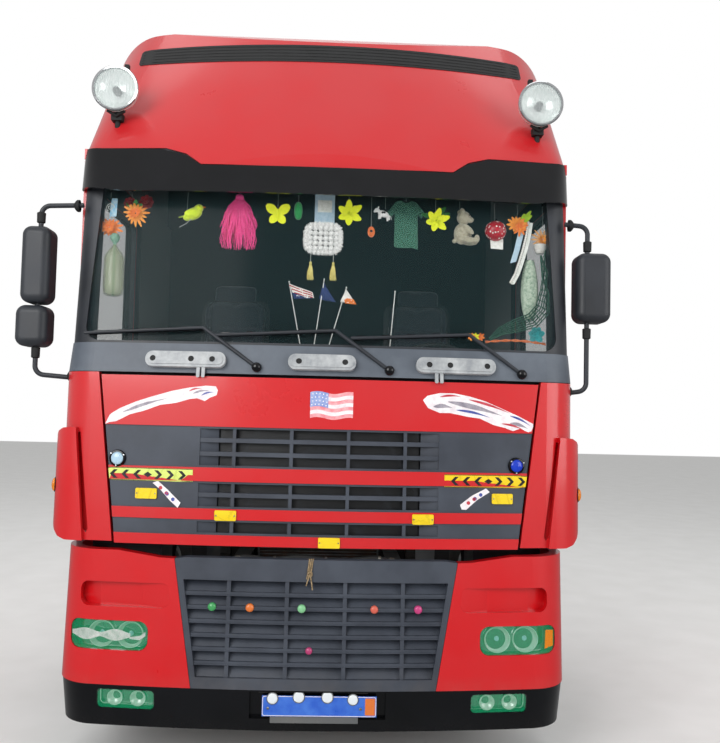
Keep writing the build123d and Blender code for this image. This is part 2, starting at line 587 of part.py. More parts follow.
# Front flap
def make_flap():
    everywhere = (FACE - 20, FACE + 340)
    low_half, high_half = FLAP_HALF
    outline = profile_y([
        (-low_half, FLAP_BOTTOM), (low_half, FLAP_BOTTOM), (high_half, FLAP_TOP), (-high_half, FLAP_TOP),
    ], *everywhere)
    inner = profile_y([
        (-low_half + 12, FLAP_BOTTOM), (low_half - 12, FLAP_BOTTOM), (high_half - 12, FLAP_TOP), (-high_half + 12, FLAP_TOP),
    ], *everywhere)
    skin = bent_wall(FLAP_LOW, FLAP_HIGH, 20)
    backing = bent_wall(FLAP_LOW, FLAP_HIGH, 14, setback=18) & inner
    wide = (-1100, 1100)
    # painted bands from below: three bars and the upper panel
    bands = ((FLAP_BOTTOM, 1119), (1189, 1239), (1364, 1428), (FLAP_PAINT_BOTTOM, FLAP_TOP))
    rows = ((1119, 1189, 0), (1239, 1364, 1), (1428, FLAP_PAINT_BOTTOM, 2))
    panel = backing
    for low, high in bands:
        panel += skin & outline & block(wide, everywhere, (low, high))
    for low, high, count in rows:
        panel -= block((-577, 577), everywhere, (low, high))
    keep("flap_panel", panel)
    dark = bent_wall(FLAP_LOW, FLAP_HIGH, 12, setback=6)
    slats = bent_wall(FLAP_LOW, FLAP_HIGH, 24, setback=9)
    grilles = []
    for low, high, count in rows:
        face = dark & outline & block(wide, everywhere, (low, high))
        pitch = (high - low) / (count + 1)
        hole = block((-560, 560), everywhere, (low + 10, high - 10))
        bars = [block((-560, 560), everywhere, (low + pitch * index - 10, low + pitch * index + 10)) for index in range(1, count + 1)]
        bars += [block((x - 8, x + 8), everywhere, (low + 10, high - 10)) for x in (-400, -133, 133, 400)]
        grille = (face - hole) + (slats & (Part() + bars))
        # cheeks that lead the air in at the ends of the row
        share = ((low + high) / 2 - FLAP_BOTTOM) / (FLAP_TOP - FLAP_BOTTOM)
        surface = FLAP_LOW[2] + share * (FLAP_HIGH[2] - FLAP_LOW[2]) + FACE + FLAP_LOW[4] * (CHEEK_END / FLAP_LOW[1]) ** 2
        cheek = profile_z([
            (CHEEK_END, surface + 10), (CHEEK_END, surface + 42), (CHEEK_START, surface + 36), (CHEEK_START, surface + 30),
        ], low + 5, high - 5)
        grilles.append(grille + cheek + mirrored(cheek))
    keep("flap_grille", grilles)


# Cab shell
def make_cab_front():
    everywhere = (FACE - 20, FACE + 340)
    behind = FACE + DOOR_FRONT - SHUT_LINE
    clip = block((-1300, 1300), (FACE - 60, behind), (900, ROOF_BASE))
    frame = bent_wall(PILLAR_LOW, PILLAR_HIGH, 55) & clip
    screen_outline = [(-1150, SCREEN_BOTTOM + 12), (1150, SCREEN_BOTTOM + 12), (1112, SCREEN_TOP), (-1112, SCREEN_TOP)]
    opening = profile_y(screen_outline, FACE - 20, FACE + 600)
    opening = fillet(opening.edges().filter_by(Axis.Y), 70)
    keep("windscreen_frame", frame - opening)
    keep("windscreen", bent_wall(PILLAR_LOW, PILLAR_HIGH, GLASS, setback=12) & opening)
    scuttle = bent_wall(SCUTTLE_LOW, SCUTTLE_HIGH, 45) & clip
    proud = bent_wall(SCUTTLE_LOW, SCUTTLE_HIGH, 30, setback=-20)
    for x0, x1, holes in ((-827, -456, 3), (-155, 155, 2), (448, 823, 3)):
        bar = proud & rounded_slab((x0, x1), (1897, 1962), 30)
        step = (x1 - x0) / holes
        for index in range(holes):
            x = x0 + step * (index + 0.5)
            bar -= rounded_slab((x - 34, x + 34), (1915, 1944), 13, y1=FACE + 130)
        scuttle += bar
    keep("scuttle", scuttle)
    wall_y = (FACE + 225, FACE + 265)
    front_wall = block((-1205, 1205), wall_y, (FLAP_BOTTOM + 30, 1860)) + block((-1105, 1105), wall_y, (1850, SCREEN_BOTTOM))
    front_wall &= bent_block(CORNER_LOW, CORNER_HIGH, 40) + block((-1105, 1105), wall_y, (1850, SCREEN_BOTTOM))
    for side in (-1, 1):
        front_wall += block(sorted((side * 1168, side * 1205)), (FACE + 240, behind), (1110, 1860)) & bent_block(CORNER_LOW, CORNER_HIGH, 40)
    keep("cab_front_wall", front_wall)
    # corner panels with their wind deflectors
    edge_low, edge_high = FLAP_HALF[0] + FLAP_GAP, FLAP_HALF[1] + FLAP_GAP
    slope = (edge_high - edge_low) / (FLAP_TOP - FLAP_BOTTOM)
    top_x = edge_high + slope * (SCUTTLE_BOTTOM - 3 - FLAP_TOP)
    outline = profile_y([(edge_low, FLAP_BOTTOM), (1400, FLAP_BOTTOM), (1400, SCUTTLE_BOTTOM - 3), (top_x, SCUTTLE_BOTTOM - 3)], *everywhere)
    upper = bent_wall(CORNER_LOW, CORNER_HIGH, 40)
    lower = bent_wall(VANE_LOW, VANE_HIGH, 50) - bent_block(CORNER_LOW, CORNER_HIGH, 10)
    low_x, high_x = SLOT_LINE
    vane = profile_y([
        (low_x, FLAP_BOTTOM + 7), (1180, FLAP_BOTTOM + 7), (1222, 1090), (1252, 1118), (1275, 1160), (1300, 1240), (1300, 1500),
        (1275, 1552), (1250, 1580), (1218, 1596), (1180, VANE_TOP), (high_x, VANE_TOP),
    ], *everywhere)
    corner = (upper + (lower & vane)) & outline & clip
    # the slot that lets air out behind the vane's lip
    slot = profile_y([
        (low_x + 9, 1130), (low_x + 5 - SLOT_WIDTH, 1112), (low_x - SLOT_WIDTH - 4, 1130), (high_x - SLOT_WIDTH, VANE_TOP - 22),
        (high_x - 4, VANE_TOP - 22), (high_x, VANE_TOP - 34),
    ], *everywhere)
    corner -= slot & bent_wall(CORNER_LOW, CORNER_HIGH, 22)
    keep("corner_panels", both(corner))


def make_cab_sides():
    y0, y1 = FACE + DOOR_FRONT, FACE + DOOR_FRONT + DOOR_LENGTH
    inner = DOOR_HALF - PANEL
    gap = SHUT_LINE + 1
    outline = [
        (y1 + gap, DOOR_BOTTOM), (CAB_BACK, DOOR_BOTTOM), (CAB_BACK, ROOF_BASE), (y0 - SHUT_LINE, ROOF_BASE),
        (y0 - SHUT_LINE, DOOR_TOP + SHUT_LINE), (y1 + gap, DOOR_TOP + SHUT_LINE),
    ]
    side = profile_x(outline, inner, DOOR_HALF)
    # waist crease, and the shut line of the locker under the bunk
    side -= block((DOOR_HALF - CREASE_DEPTH, DOOR_HALF + 5), (y1 - 5, CAB_BACK + 5), CREASE)
    locker = [(y1 + 60, CAB_BACK - 60), (DOOR_BOTTOM + 60, WAIST - 90)]
    side -= block((DOOR_HALF - 6, DOOR_HALF + 5), *locker) - block(
        (DOOR_HALF - 7, DOOR_HALF + 6), *[(low + SHUT_LINE, high - SHUT_LINE) for low, high in locker])
    keep("cab_sides", both(side))
    back = block((-inner, inner), (CAB_BACK - 40, CAB_BACK), (DOOR_BOTTOM, ROOF_BASE))
    for x in (-990, -660, -330, 0, 330):
        back -= block((x - 70, x + 70), (CAB_BACK - SWAGE_DEPTH, CAB_BACK + 5), (DOOR_BOTTOM + 150, ROOF_BASE - 120))
    keep("cab_back", back)
    edge = inner - 6
    floor = block((-edge, edge), (FACE + 265, CAB_BACK - 40), (FLOOR_TOP - FLOOR_WALL, FLOOR_TOP))
    tunnel = block((-430, 430), (FACE + 265, FACE + 1950), (FLOOR_TOP - 5, FLOOR_TOP + 120))
    tunnel -= block((-390, 390), (FACE + 200, FACE + 1910), (FLOOR_TOP - FLOOR_WALL - 10, FLOOR_TOP + 80))
    floor -= block((-390, 390), (FACE + 200, FACE + 1910), (FLOOR_TOP - FLOOR_WALL - 10, FLOOR_TOP + 80))
    floor += tunnel
    # cranked arms down to the tilt pivots
    pin_y = FACE + TILT_DEPTH
    for side in (-1, 1):
        xs = sorted((side * (RAIL_OUTER + 40), side * (RAIL_OUTER + 90)))
        arm = profile_x([
            (pin_y - 5, TILT_Z + 38), (pin_y + 25, TILT_Z - 32), (pin_y + 270, TILT_Z + 170), (pin_y + 270, FLOOR_TOP - 20),
            (pin_y + 200, FLOOR_TOP - 20), (pin_y + 200, TILT_Z + 200), (pin_y + 60, TILT_Z + 56),
        ], xs[0], xs[1])
        arm += rod((xs[0], pin_y, TILT_Z), (xs[1], pin_y, TILT_Z), 46)
        arm -= rod((xs[0] - 1, pin_y, TILT_Z), (xs[1] + 1, pin_y, TILT_Z), TILT_PIN_RADIUS + RUNNING)
        floor += arm
    keep("cab_floor", floor)


def roof_form(inset, low=ROOF_BASE):
    """The high roof's outer form down to a height, or its inside when inset."""
    half = HALF_CAB - inset
    top = ROOF_TOP - inset
    drop = ROOF_BASE - low
    side = profile_x([
        (FACE + 240 - 0.29 * drop + inset, low), (FACE + 345 + inset, 3360), (FACE + 560 + inset, top - 110),
        (FACE + 760 + inset, top), (CAB_BACK - 250, top), (CAB_BACK - inset, top - 160), (CAB_BACK - inset, low),
    ], -half, half)
    front = profile_y([(-half, low), (half, low), (half, top), (-half, top)], FACE, CAB_BACK)
    front = fillet(front.edges().filter_by(Axis.Y).group_by(Axis.Z)[-1], 240)
    lean = loft([
        plan_face(low, half, 240 - 0.45 * drop + inset, CAB_LENGTH - inset, 78, 90),
        plan_face(top, half, 640 + inset, CAB_LENGTH - inset, 240, 420),
    ], ruled=True)
    return side & front & lean


def make_roof():
    # the brow comes down between the visor's raised ends, in front of the windscreen frame
    brow_low = 2900
    brow = profile_y([
        (-830, ROOF_BASE + 5), (-707, 2968), (-625, 2906), (625, 2906), (707, 2968), (830, ROOF_BASE + 5),
    ], FACE - 10, FACE + 480)
    below = block((-1300, 1300), (FACE - 50, CAB_BACK + 50), (brow_low - 50, ROOF_BASE))
    roof = roof_form(0, brow_low) - (below - brow)
    roof -= roof_form(40, ROOF_BASE - 5) - block((-900, 900), (FACE, FACE + 310), (ROOF_BASE - 10, ROOF_BASE))
    roof -= bent_block(PILLAR_LOW, PILLAR_HIGH)
    groove = block((-1060, 1060), (FACE + 300, FACE + 900), (3600, 3690))
    keep("cab_roof", roof - (groove & (roof_form(0) - roof_form(24))))
    outline = profile_y([
        (-1300, 2790), (-1000, 2752), (0, 2746), (1000, 2752), (1300, 2790), (1300, 2998), (830, 2990), (707, 2960),
        (625, 2902), (-625, 2902), (-707, 2960), (-830, 2990), (-1300, 2998),
    ], FACE - 20, FACE + 900)
    behind = FACE + DOOR_FRONT - SHUT_LINE
    clip = block((-1300, 1300), (FACE - 60, behind), (2700, ROOF_BASE))
    keep("sun_visor", bent_wall(VISOR_LOW, VISOR_HIGH, 12) & outline & clip)


def make_doors():
    y0, y1 = FACE + DOOR_FRONT + 1, FACE + DOOR_FRONT + DOOR_LENGTH
    inner = DOOR_HALF - PANEL
    for name, side in (("left", 1), ("right", -1)):
        outline = [(y0, DOOR_BOTTOM), (y1, DOOR_BOTTOM), (y1, DOOR_TOP), (y0, DOOR_TOP)]
        xs = (inner, DOOR_HALF)
        door = profile_x(outline, *xs)
        window = profile_x([
            (y0 + WINDOW_BORDER, WINDOW_BOTTOM), (y1 - WINDOW_BORDER, WINDOW_BOTTOM),
            (y1 - WINDOW_BORDER, WINDOW_TOP), (y0 + WINDOW_BORDER + 60, WINDOW_TOP),
        ], inner - 5, DOOR_HALF + 5)
        window = fillet(window.edges().filter_by(Axis.X), 40)
        door -= window
        # rebate for the window seal, waist crease, and the handle's pocket with its pull flap
        rebate = offset(window.faces().sort_by(Axis.X)[-1], amount=SEAL_WIDTH)
        door -= Pos(-5 - SEAL_DEPTH, 0, 0) * extrude(rebate, amount=SEAL_DEPTH + 5, dir=(1, 0, 0))
        door -= block((DOOR_HALF - CREASE_DEPTH, DOOR_HALF + 5), (y0 - 5, y1 + 5), CREASE)
        door -= block((DOOR_HALF - 30, DOOR_HALF + 5), (y1 - 230, y1 - 60), (1730, 1825))
        door += block((DOOR_HALF - 31, DOOR_HALF - 4), (y1 - 222, y1 - 68), (1786, 1826))
        middle = (inner + DOOR_HALF) / 2
        glass = window & block((middle - GLASS / 2, middle + GLASS / 2), (y0, y1), (WINDOW_BOTTOM - 5, WINDOW_TOP + 5))
        if side < 0:
            door, glass = mirrored(door), mirrored(glass)
        keep("door_" + name, door)
        keep("door_glass_" + name, glass)


def make_interior():
    board = profile_x([
        (FACE + 265, 1700), (FACE + 640, 1700), (FACE + 700, 1760), (FACE + 680, 1940), (FACE + 560, 1990), (FACE + 340, 2000),
        (FACE + 265, 2000),
    ], -1120, 1120)
    column = rod((600, FACE + 640, 1830), (600, FACE + 752, 1918), 38)
    keep("dashboard", board + column)
    pieces = []
    for x in (-600, 600):
        base = block((x - 165, x + 165), (FACE + 1080, FACE + 1500), (FLOOR_TOP, FLOOR_TOP + 260))
        pad = block((x - 250, x + 250), (FACE + 1020, FACE + 1540), (FLOOR_TOP + 260, FLOOR_TOP + 400))
        rest = profile_x([
            (FACE + 1440, FLOOR_TOP + 400), (FACE + 1560, FLOOR_TOP + 400), (FACE + 1640, FLOOR_TOP + 1080),
            (FACE + 1540, FLOOR_TOP + 1080),
        ], x - 240, x + 240)
        pieces.append(base + pad + rest)
    bunk = block((-1150, 1150), (FACE + 1660, CAB_BACK - 45), (FLOOR_TOP + 400, FLOOR_TOP + 520))
    bunk += block((-1150, 1150), (FACE + 1700, CAB_BACK - 45), (FLOOR_TOP, FLOOR_TOP + 400))
    bunk -= block((-440, 440), (FACE + 1600, CAB_BACK - 44), (FLOOR_TOP - 5, FLOOR_TOP + 130))
    keep("seats_and_bunk", pieces, bunk)
    tilt = Vector(0, 0.62, 0.785)
    hub = Vector(600, FACE + 772, 1935)
    plane = Plane(hub, z_dir=tilt)
    wheel = plane * Torus(220, 15)
    wheel += plane * Cylinder(60, 30)
    for angle in (0, 180, 270):
        wheel += plane * Rot(0, 0, angle) * Pos(130, 0, 0) * Box(190, 36, 12)
    keep("steering_wheel", wheel)


def mirror_housing(x, z):
    """A moulded mirror shell, rounded all round its front."""
    (cx, dx), (cz, dz) = span(*x), span(*z)
    face = Plane(origin=(cx, FACE + 205, cz), x_dir=(1, 0, 0), z_dir=(0, -1, 0)) * RectangleRounded(dx, dz, 46)
    shell = extrude(face, amount=115, dir=(0, 1, 0))
    return fillet(shell.edges().group_by(Axis.Y)[0], 40)


def make_outside_fittings():
    # mirrors: one wide housing on the driver's side, a narrow and a short one on the other
    arms = []
    for side, x, low, high in ((1, 1318, 1822, 2662), (-1, 1406, 1838, 2682)):
        arm = bent_tube([
            (1205, FACE + 275, high + 12), (x, FACE + 262, high), (x, FACE + 262, low + 12), (1238, FACE + 275, low),
        ], 12, 45)
        arms.append(arm - bent_block(PILLAR_LOW, PILLAR_HIGH) - bent_block(CORNER_LOW, CORNER_HIGH))
    near = mirror_housing((1256, 1430), (2174, 2524))
    far = mirror_housing((1342, 1484), (2196, 2576)) + mirror_housing((1342, 1500), (1984, 2186))
    keep("mirrors", arms[0] + near, mirrored(arms[1] + far))
    x, y, z = 1090, FACE + 330, 3315
    bowl = rod((x, y, z), (x, y + 30, z), 118) + rod((x, y + 30, z), (x, y + 110, z), 85)
    bowl += rod((x, y + 60, z - 60), (x, y + 90, z - 190), 16)
    keep("roof_lamps", both(bowl - roof_form(0)))
    arms = []
    for pivot_x, elbow_x, tip_x in ((-307, -569, -1141), (318, 59, -512), (959, 702, 133)):
        def place(px, pz):
            t = (pz - SCREEN_BOTTOM) / (ROOF_BASE - SCREEN_BOTTOM)
            depth = 100 + 150 * t + 95 * (px / 1236) ** 2
            return (px, FACE + depth - 26, pz)
        boss = (pivot_x, FACE + 60 + 95 * (pivot_x / 1236) ** 2, 1900)
        arm = rod(boss, place(elbow_x, 2085), 9)
        arm += rod(place(elbow_x, 2085), place(tip_x, 2050), 8)
        arm += rod((boss[0], boss[1] - 14, boss[2]), (boss[0], boss[1] + 25, boss[2]), 22)
        arms.append(arm - bent_block(SCUTTLE_LOW, SCUTTLE_HIGH) - bent_block(PILLAR_LOW, PILLAR_HIGH))
    keep("wipers", arms)
    duct = block((720, 1120), (CAB_BACK, CAB_BACK + 150), (1500, 3500))
    duct -= block((760, 1080), (CAB_BACK + 120, CAB_BACK + 160), (2900, 3440))
    for index in range(9):
        z = 2946 + 56 * index
        duct += profile_x([
            (CAB_BACK + 118, z + 12), (CAB_BACK + 118, z + 20), (CAB_BACK + 146, z - 6), (CAB_BACK + 146, z - 14),
        ], 755, 1085)
    keep("air_intake", duct)


make_frame()
make_front_axle()
make_suspension()
make_rear_axle()
make_knuckles()
make_wheels()
make_running_gear()
make_rear_fittings()
make_fifth_wheel()
make_steps()
make_bumper()
make_flap()
make_cab_front()
make_cab_sides()
make_roof()
make_doors()
make_interior()
make_outside_fittings()

os.makedirs("parts", exist_ok=True)
for name, solids in nodes.items():
    piece = solids[0] if len(solids) == 1 else Compound(children=solids)
    export_step(piece, "parts/" + name + ".step")
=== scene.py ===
"""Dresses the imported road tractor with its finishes, tyres, trim, lamps, decorations and soft seats."""
import json
import math

import bmesh
import bpy
from mathutils import Matrix, Vector
from mathutils.bvhtree import BVHTree


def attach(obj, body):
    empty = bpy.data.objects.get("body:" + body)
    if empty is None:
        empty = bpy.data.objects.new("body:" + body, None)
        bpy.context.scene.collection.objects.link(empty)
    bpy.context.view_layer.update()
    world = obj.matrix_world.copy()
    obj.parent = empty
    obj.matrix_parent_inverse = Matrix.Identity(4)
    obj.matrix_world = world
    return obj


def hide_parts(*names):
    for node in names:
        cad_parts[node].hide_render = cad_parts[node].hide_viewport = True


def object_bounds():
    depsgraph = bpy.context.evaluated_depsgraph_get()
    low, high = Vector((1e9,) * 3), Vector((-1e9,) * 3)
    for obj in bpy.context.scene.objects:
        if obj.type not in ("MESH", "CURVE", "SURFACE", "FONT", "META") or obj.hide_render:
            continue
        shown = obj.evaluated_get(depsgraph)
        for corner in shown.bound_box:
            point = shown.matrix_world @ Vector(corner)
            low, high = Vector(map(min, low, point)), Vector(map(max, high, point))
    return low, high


bl_info = {
    "name": "Decorated Truck Dressing",
    "version": (1, 0, 0),
    "blender": (4, 5, 0),
    "location": "View3D > Sidebar > Truck",
    "description": "Adds finishes, tyres, lamps, trim, decorations and seats to a packed road tractor",
    "category": "Object",
}

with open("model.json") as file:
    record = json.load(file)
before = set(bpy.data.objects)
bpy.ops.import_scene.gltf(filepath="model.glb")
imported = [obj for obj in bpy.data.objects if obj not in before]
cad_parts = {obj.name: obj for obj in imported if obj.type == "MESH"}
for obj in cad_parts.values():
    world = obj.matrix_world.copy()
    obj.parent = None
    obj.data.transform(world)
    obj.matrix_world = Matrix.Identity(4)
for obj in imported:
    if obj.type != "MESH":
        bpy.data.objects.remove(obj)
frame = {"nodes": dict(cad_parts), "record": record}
cad = frame["nodes"]
cad_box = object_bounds()

FACE = cad_box[0][1]
FRONT_AXLE = FACE + 1.380
REAR_AXLE = FRONT_AXLE + 3.800
TYRE_RADIUS = 0.538
NUT_CIRCLE = 0.1675
HALF_BODY = 1.22
DOOR_FRONT = FACE + 0.346
DOOR_BACK = FACE + 1.290
HEADLAMP_Z = 0.655
SLAT_PITCH = 0.0621428
GOLDEN_ANGLE = 2.39996
OUTWARD = Vector((0, -1, 0))
UP = (0, 0, 1)
SIDES = (("left", 1), ("right", -1))


def linear(code):
    """A colour written as sRGB hex, as linear red, green and blue."""
    parts = [int(code[start:start + 2], 16) / 255 for start in (1, 3, 5)]
    return [part / 12.92 if part <= 0.04045 else ((part + 0.055) / 1.055) ** 2.4 for part in parts]


def rgba(colour):
    """A hex code or a linear colour, with full opacity."""
    return list(linear(colour) if isinstance(colour, str) else colour)[:3] + [1.0]


def add(tree, kind, inputs=None, **settings):
    """Add one shader node with its settings, and set or link its inputs."""
    made = tree.nodes.new("ShaderNode" + kind)
    for name, value in settings.items():
        setattr(made, name, value)
    for name, value in (inputs or {}).items():
        if isinstance(value, bpy.types.NodeSocket):
            tree.links.new(value, made.inputs[name])
        else:
            made.inputs[name].default_value = value
    return made


# Materials
def blank(name):
    """A new material and its empty node tree."""
    made = bpy.data.materials.new(name)
    made.use_nodes = True
    made.node_tree.nodes.clear()
    return made, made.node_tree


def finish(name, base, worn, patch, roughness, spread=0.06, grain=0.0, depth=0.0, cells=False, dust=None,
           dust_top=1.3, fade=None, **sockets):
    """A material that drifts between two tones in patches, with a grain and settled road dust.

    Sizes of patches and grain and the grain's depth are in millimetres, heights are in metres.
    """
    made, tree = blank(name)
    place = add(tree, "TexCoord").outputs["Object"]
    patches = add(tree, "TexNoise", {"Vector": place, "Scale": 1000 / patch, "Detail": 8.0,
                                     "Roughness": 0.62}).outputs[0]
    amount = add(tree, "MapRange", {0: patches, 1: 0.36, 2: 0.68}).outputs[0]
    height = add(tree, "SeparateXYZ", {0: place}).outputs["Z"]
    if fade:
        raised = add(tree, "MapRange", {0: height, 1: fade[0], 2: fade[1]}).outputs[0]
        amount = add(tree, "Math", {0: amount, 1: 0.45, 2: raised}, operation="MULTIPLY_ADD",
                     use_clamp=True).outputs[0]
    colour = add(tree, "Mix", {0: amount, 6: rgba(base), 7: rgba(worn)}, data_type="RGBA").outputs[2]
    rough = add(tree, "MapRange", {0: patches, 1: 0.3, 2: 0.7, 3: roughness - spread,
                                   4: roughness + spread}).outputs[0]
    if dust:
        low = add(tree, "MapRange", {0: height, 1: dust_top, 2: 0.1, 3: 0.0, 4: 1.0}).outputs[0]
        spots = add(tree, "TexNoise", {"Vector": place, "Scale": 9.0, "Detail": 10.0,
                                       "Roughness": 0.7}).outputs[0]
        spots = add(tree, "MapRange", {0: spots, 1: 0.35, 2: 0.75}).outputs[0]
        settled = add(tree, "Math", {0: low, 1: spots}, operation="MULTIPLY").outputs[0]
        colour = add(tree, "Mix", {0: settled, 6: colour, 7: rgba(dust)}, data_type="RGBA").outputs[2]
        rough = add(tree, "Mix", {0: settled, 2: rough, 3: 0.85}).outputs[0]
    shader = add(tree, "BsdfPrincipled", {"Base Color": colour, "Roughness": rough, **sockets})
    if depth:
        kind = "TexVoronoi" if cells else "TexNoise"
        texture = add(tree, kind, {"Vector": place, "Scale": 1000 / grain}).outputs[0]
        bump = add(tree, "Bump", {"Height": texture, "Strength": 0.6, "Distance": depth / 1000})
        tree.links.new(bump.outputs[0], shader.inputs["Normal"])
    add(tree, "OutputMaterial", {"Surface": shader.outputs[0]})
    return made


def clear(name, tint, alpha, roughness, flute=0.0, **sockets):
    """A see-through material, with upright flutes of a width in millimetres where it is moulded."""
    made, tree = blank(name)
    place = add(tree, "TexCoord").outputs["Object"]
    shader = add(tree, "BsdfPrincipled", {"Base Color": rgba(tint), "Alpha": alpha, "Roughness": roughness,
                                          **sockets})
    if flute:
        across = add(tree, "SeparateXYZ", {0: place}).outputs["X"]
        wave = add(tree, "Math", {0: across, 1: 2000 * math.pi / flute}, operation="MULTIPLY").outputs[0]
        ridge = add(tree, "Math", {0: wave}, operation="SINE").outputs[0]
        bump = add(tree, "Bump", {"Height": ridge, "Strength": 0.5, "Distance": 0.002})
        tree.links.new(bump.outputs[0], shader.inputs["Normal"])
    add(tree, "OutputMaterial", {"Surface": shader.outputs[0]})
    return made


def film(name, ground, mark, pitch):
    """A printed or prismatic film with a fine mesh of a pitch in millimetres."""
    made, tree = blank(name)
    place = add(tree, "TexCoord").outputs["Object"]
    turned = add(tree, "Mapping", {"Vector": place, "Rotation": (0, math.radians(45), 0)}).outputs[0]
    cells = add(tree, "TexVoronoi", {"Vector": turned, "Scale": 1000 / pitch, "Randomness": 0.1},
                feature="DISTANCE_TO_EDGE")
    edge = add(tree, "MapRange", {0: cells.outputs[0], 1: 0.02, 2: 0.12}).outputs[0]
    wear = add(tree, "TexNoise", {"Vector": place, "Scale": 30.0, "Detail": 8.0}).outputs[0]
    amount = add(tree, "Math", {0: edge, 1: wear}, operation="MULTIPLY_ADD").outputs[0]
    colour = add(tree, "Mix", {0: amount, 6: rgba(mark), 7: rgba(ground)}, data_type="RGBA").outputs[2]
    shader = add(tree, "BsdfPrincipled", {"Base Color": colour, "Roughness": 0.3})
    bump = add(tree, "Bump", {"Height": edge, "Strength": 0.4, "Distance": 0.0005})
    tree.links.new(bump.outputs[0], shader.inputs["Normal"])
    add(tree, "OutputMaterial", {"Surface": shader.outputs[0]})
    return made


def cloth(name, thread, gap, pitch, fuzz):
    """Woven or knitted cloth: crossing threads of a spacing in millimetres, with a soft nap."""
    made, tree = blank(name)
    place = add(tree, "TexCoord").outputs["Object"]
    mottle = add(tree, "TexNoise", {"Vector": place, "Scale": 40.0, "Detail": 6.0}).outputs[0]
    heights = []
    for axis in ("X", "Z"):
        along = add(tree, "SeparateXYZ", {0: place}).outputs[axis]
        turns = add(tree, "Math", {0: along, 1: 2000 * math.pi / pitch}, operation="MULTIPLY").outputs[0]
        heights.append(add(tree, "Math", {0: turns}, operation="SINE").outputs[0])
    weave = add(tree, "Math", {0: heights[0], 1: heights[1]}, operation="MULTIPLY").outputs[0]
    share = add(tree, "MapRange", {0: weave, 1: -1.0, 2: 1.0}).outputs[0]
    share = add(tree, "Math", {0: share, 1: mottle}, operation="MULTIPLY").outputs[0]
    colour = add(tree, "Mix", {0: share, 6: rgba(gap), 7: rgba(thread)}, data_type="RGBA").outputs[2]
    shader = add(tree, "BsdfPrincipled", {
        "Base Color": colour, "Roughness": 0.9, "Sheen Weight": 0.35 + fuzz, "Sheen Roughness": 0.5})
    bump = add(tree, "Bump", {"Height": weave, "Strength": 0.5, "Distance": 0.0006 + fuzz * 0.004})
    tree.links.new(bump.outputs[0], shader.inputs["Normal"])
    add(tree, "OutputMaterial", {"Surface": shader.outputs[0]})
    return made


stuff = {}


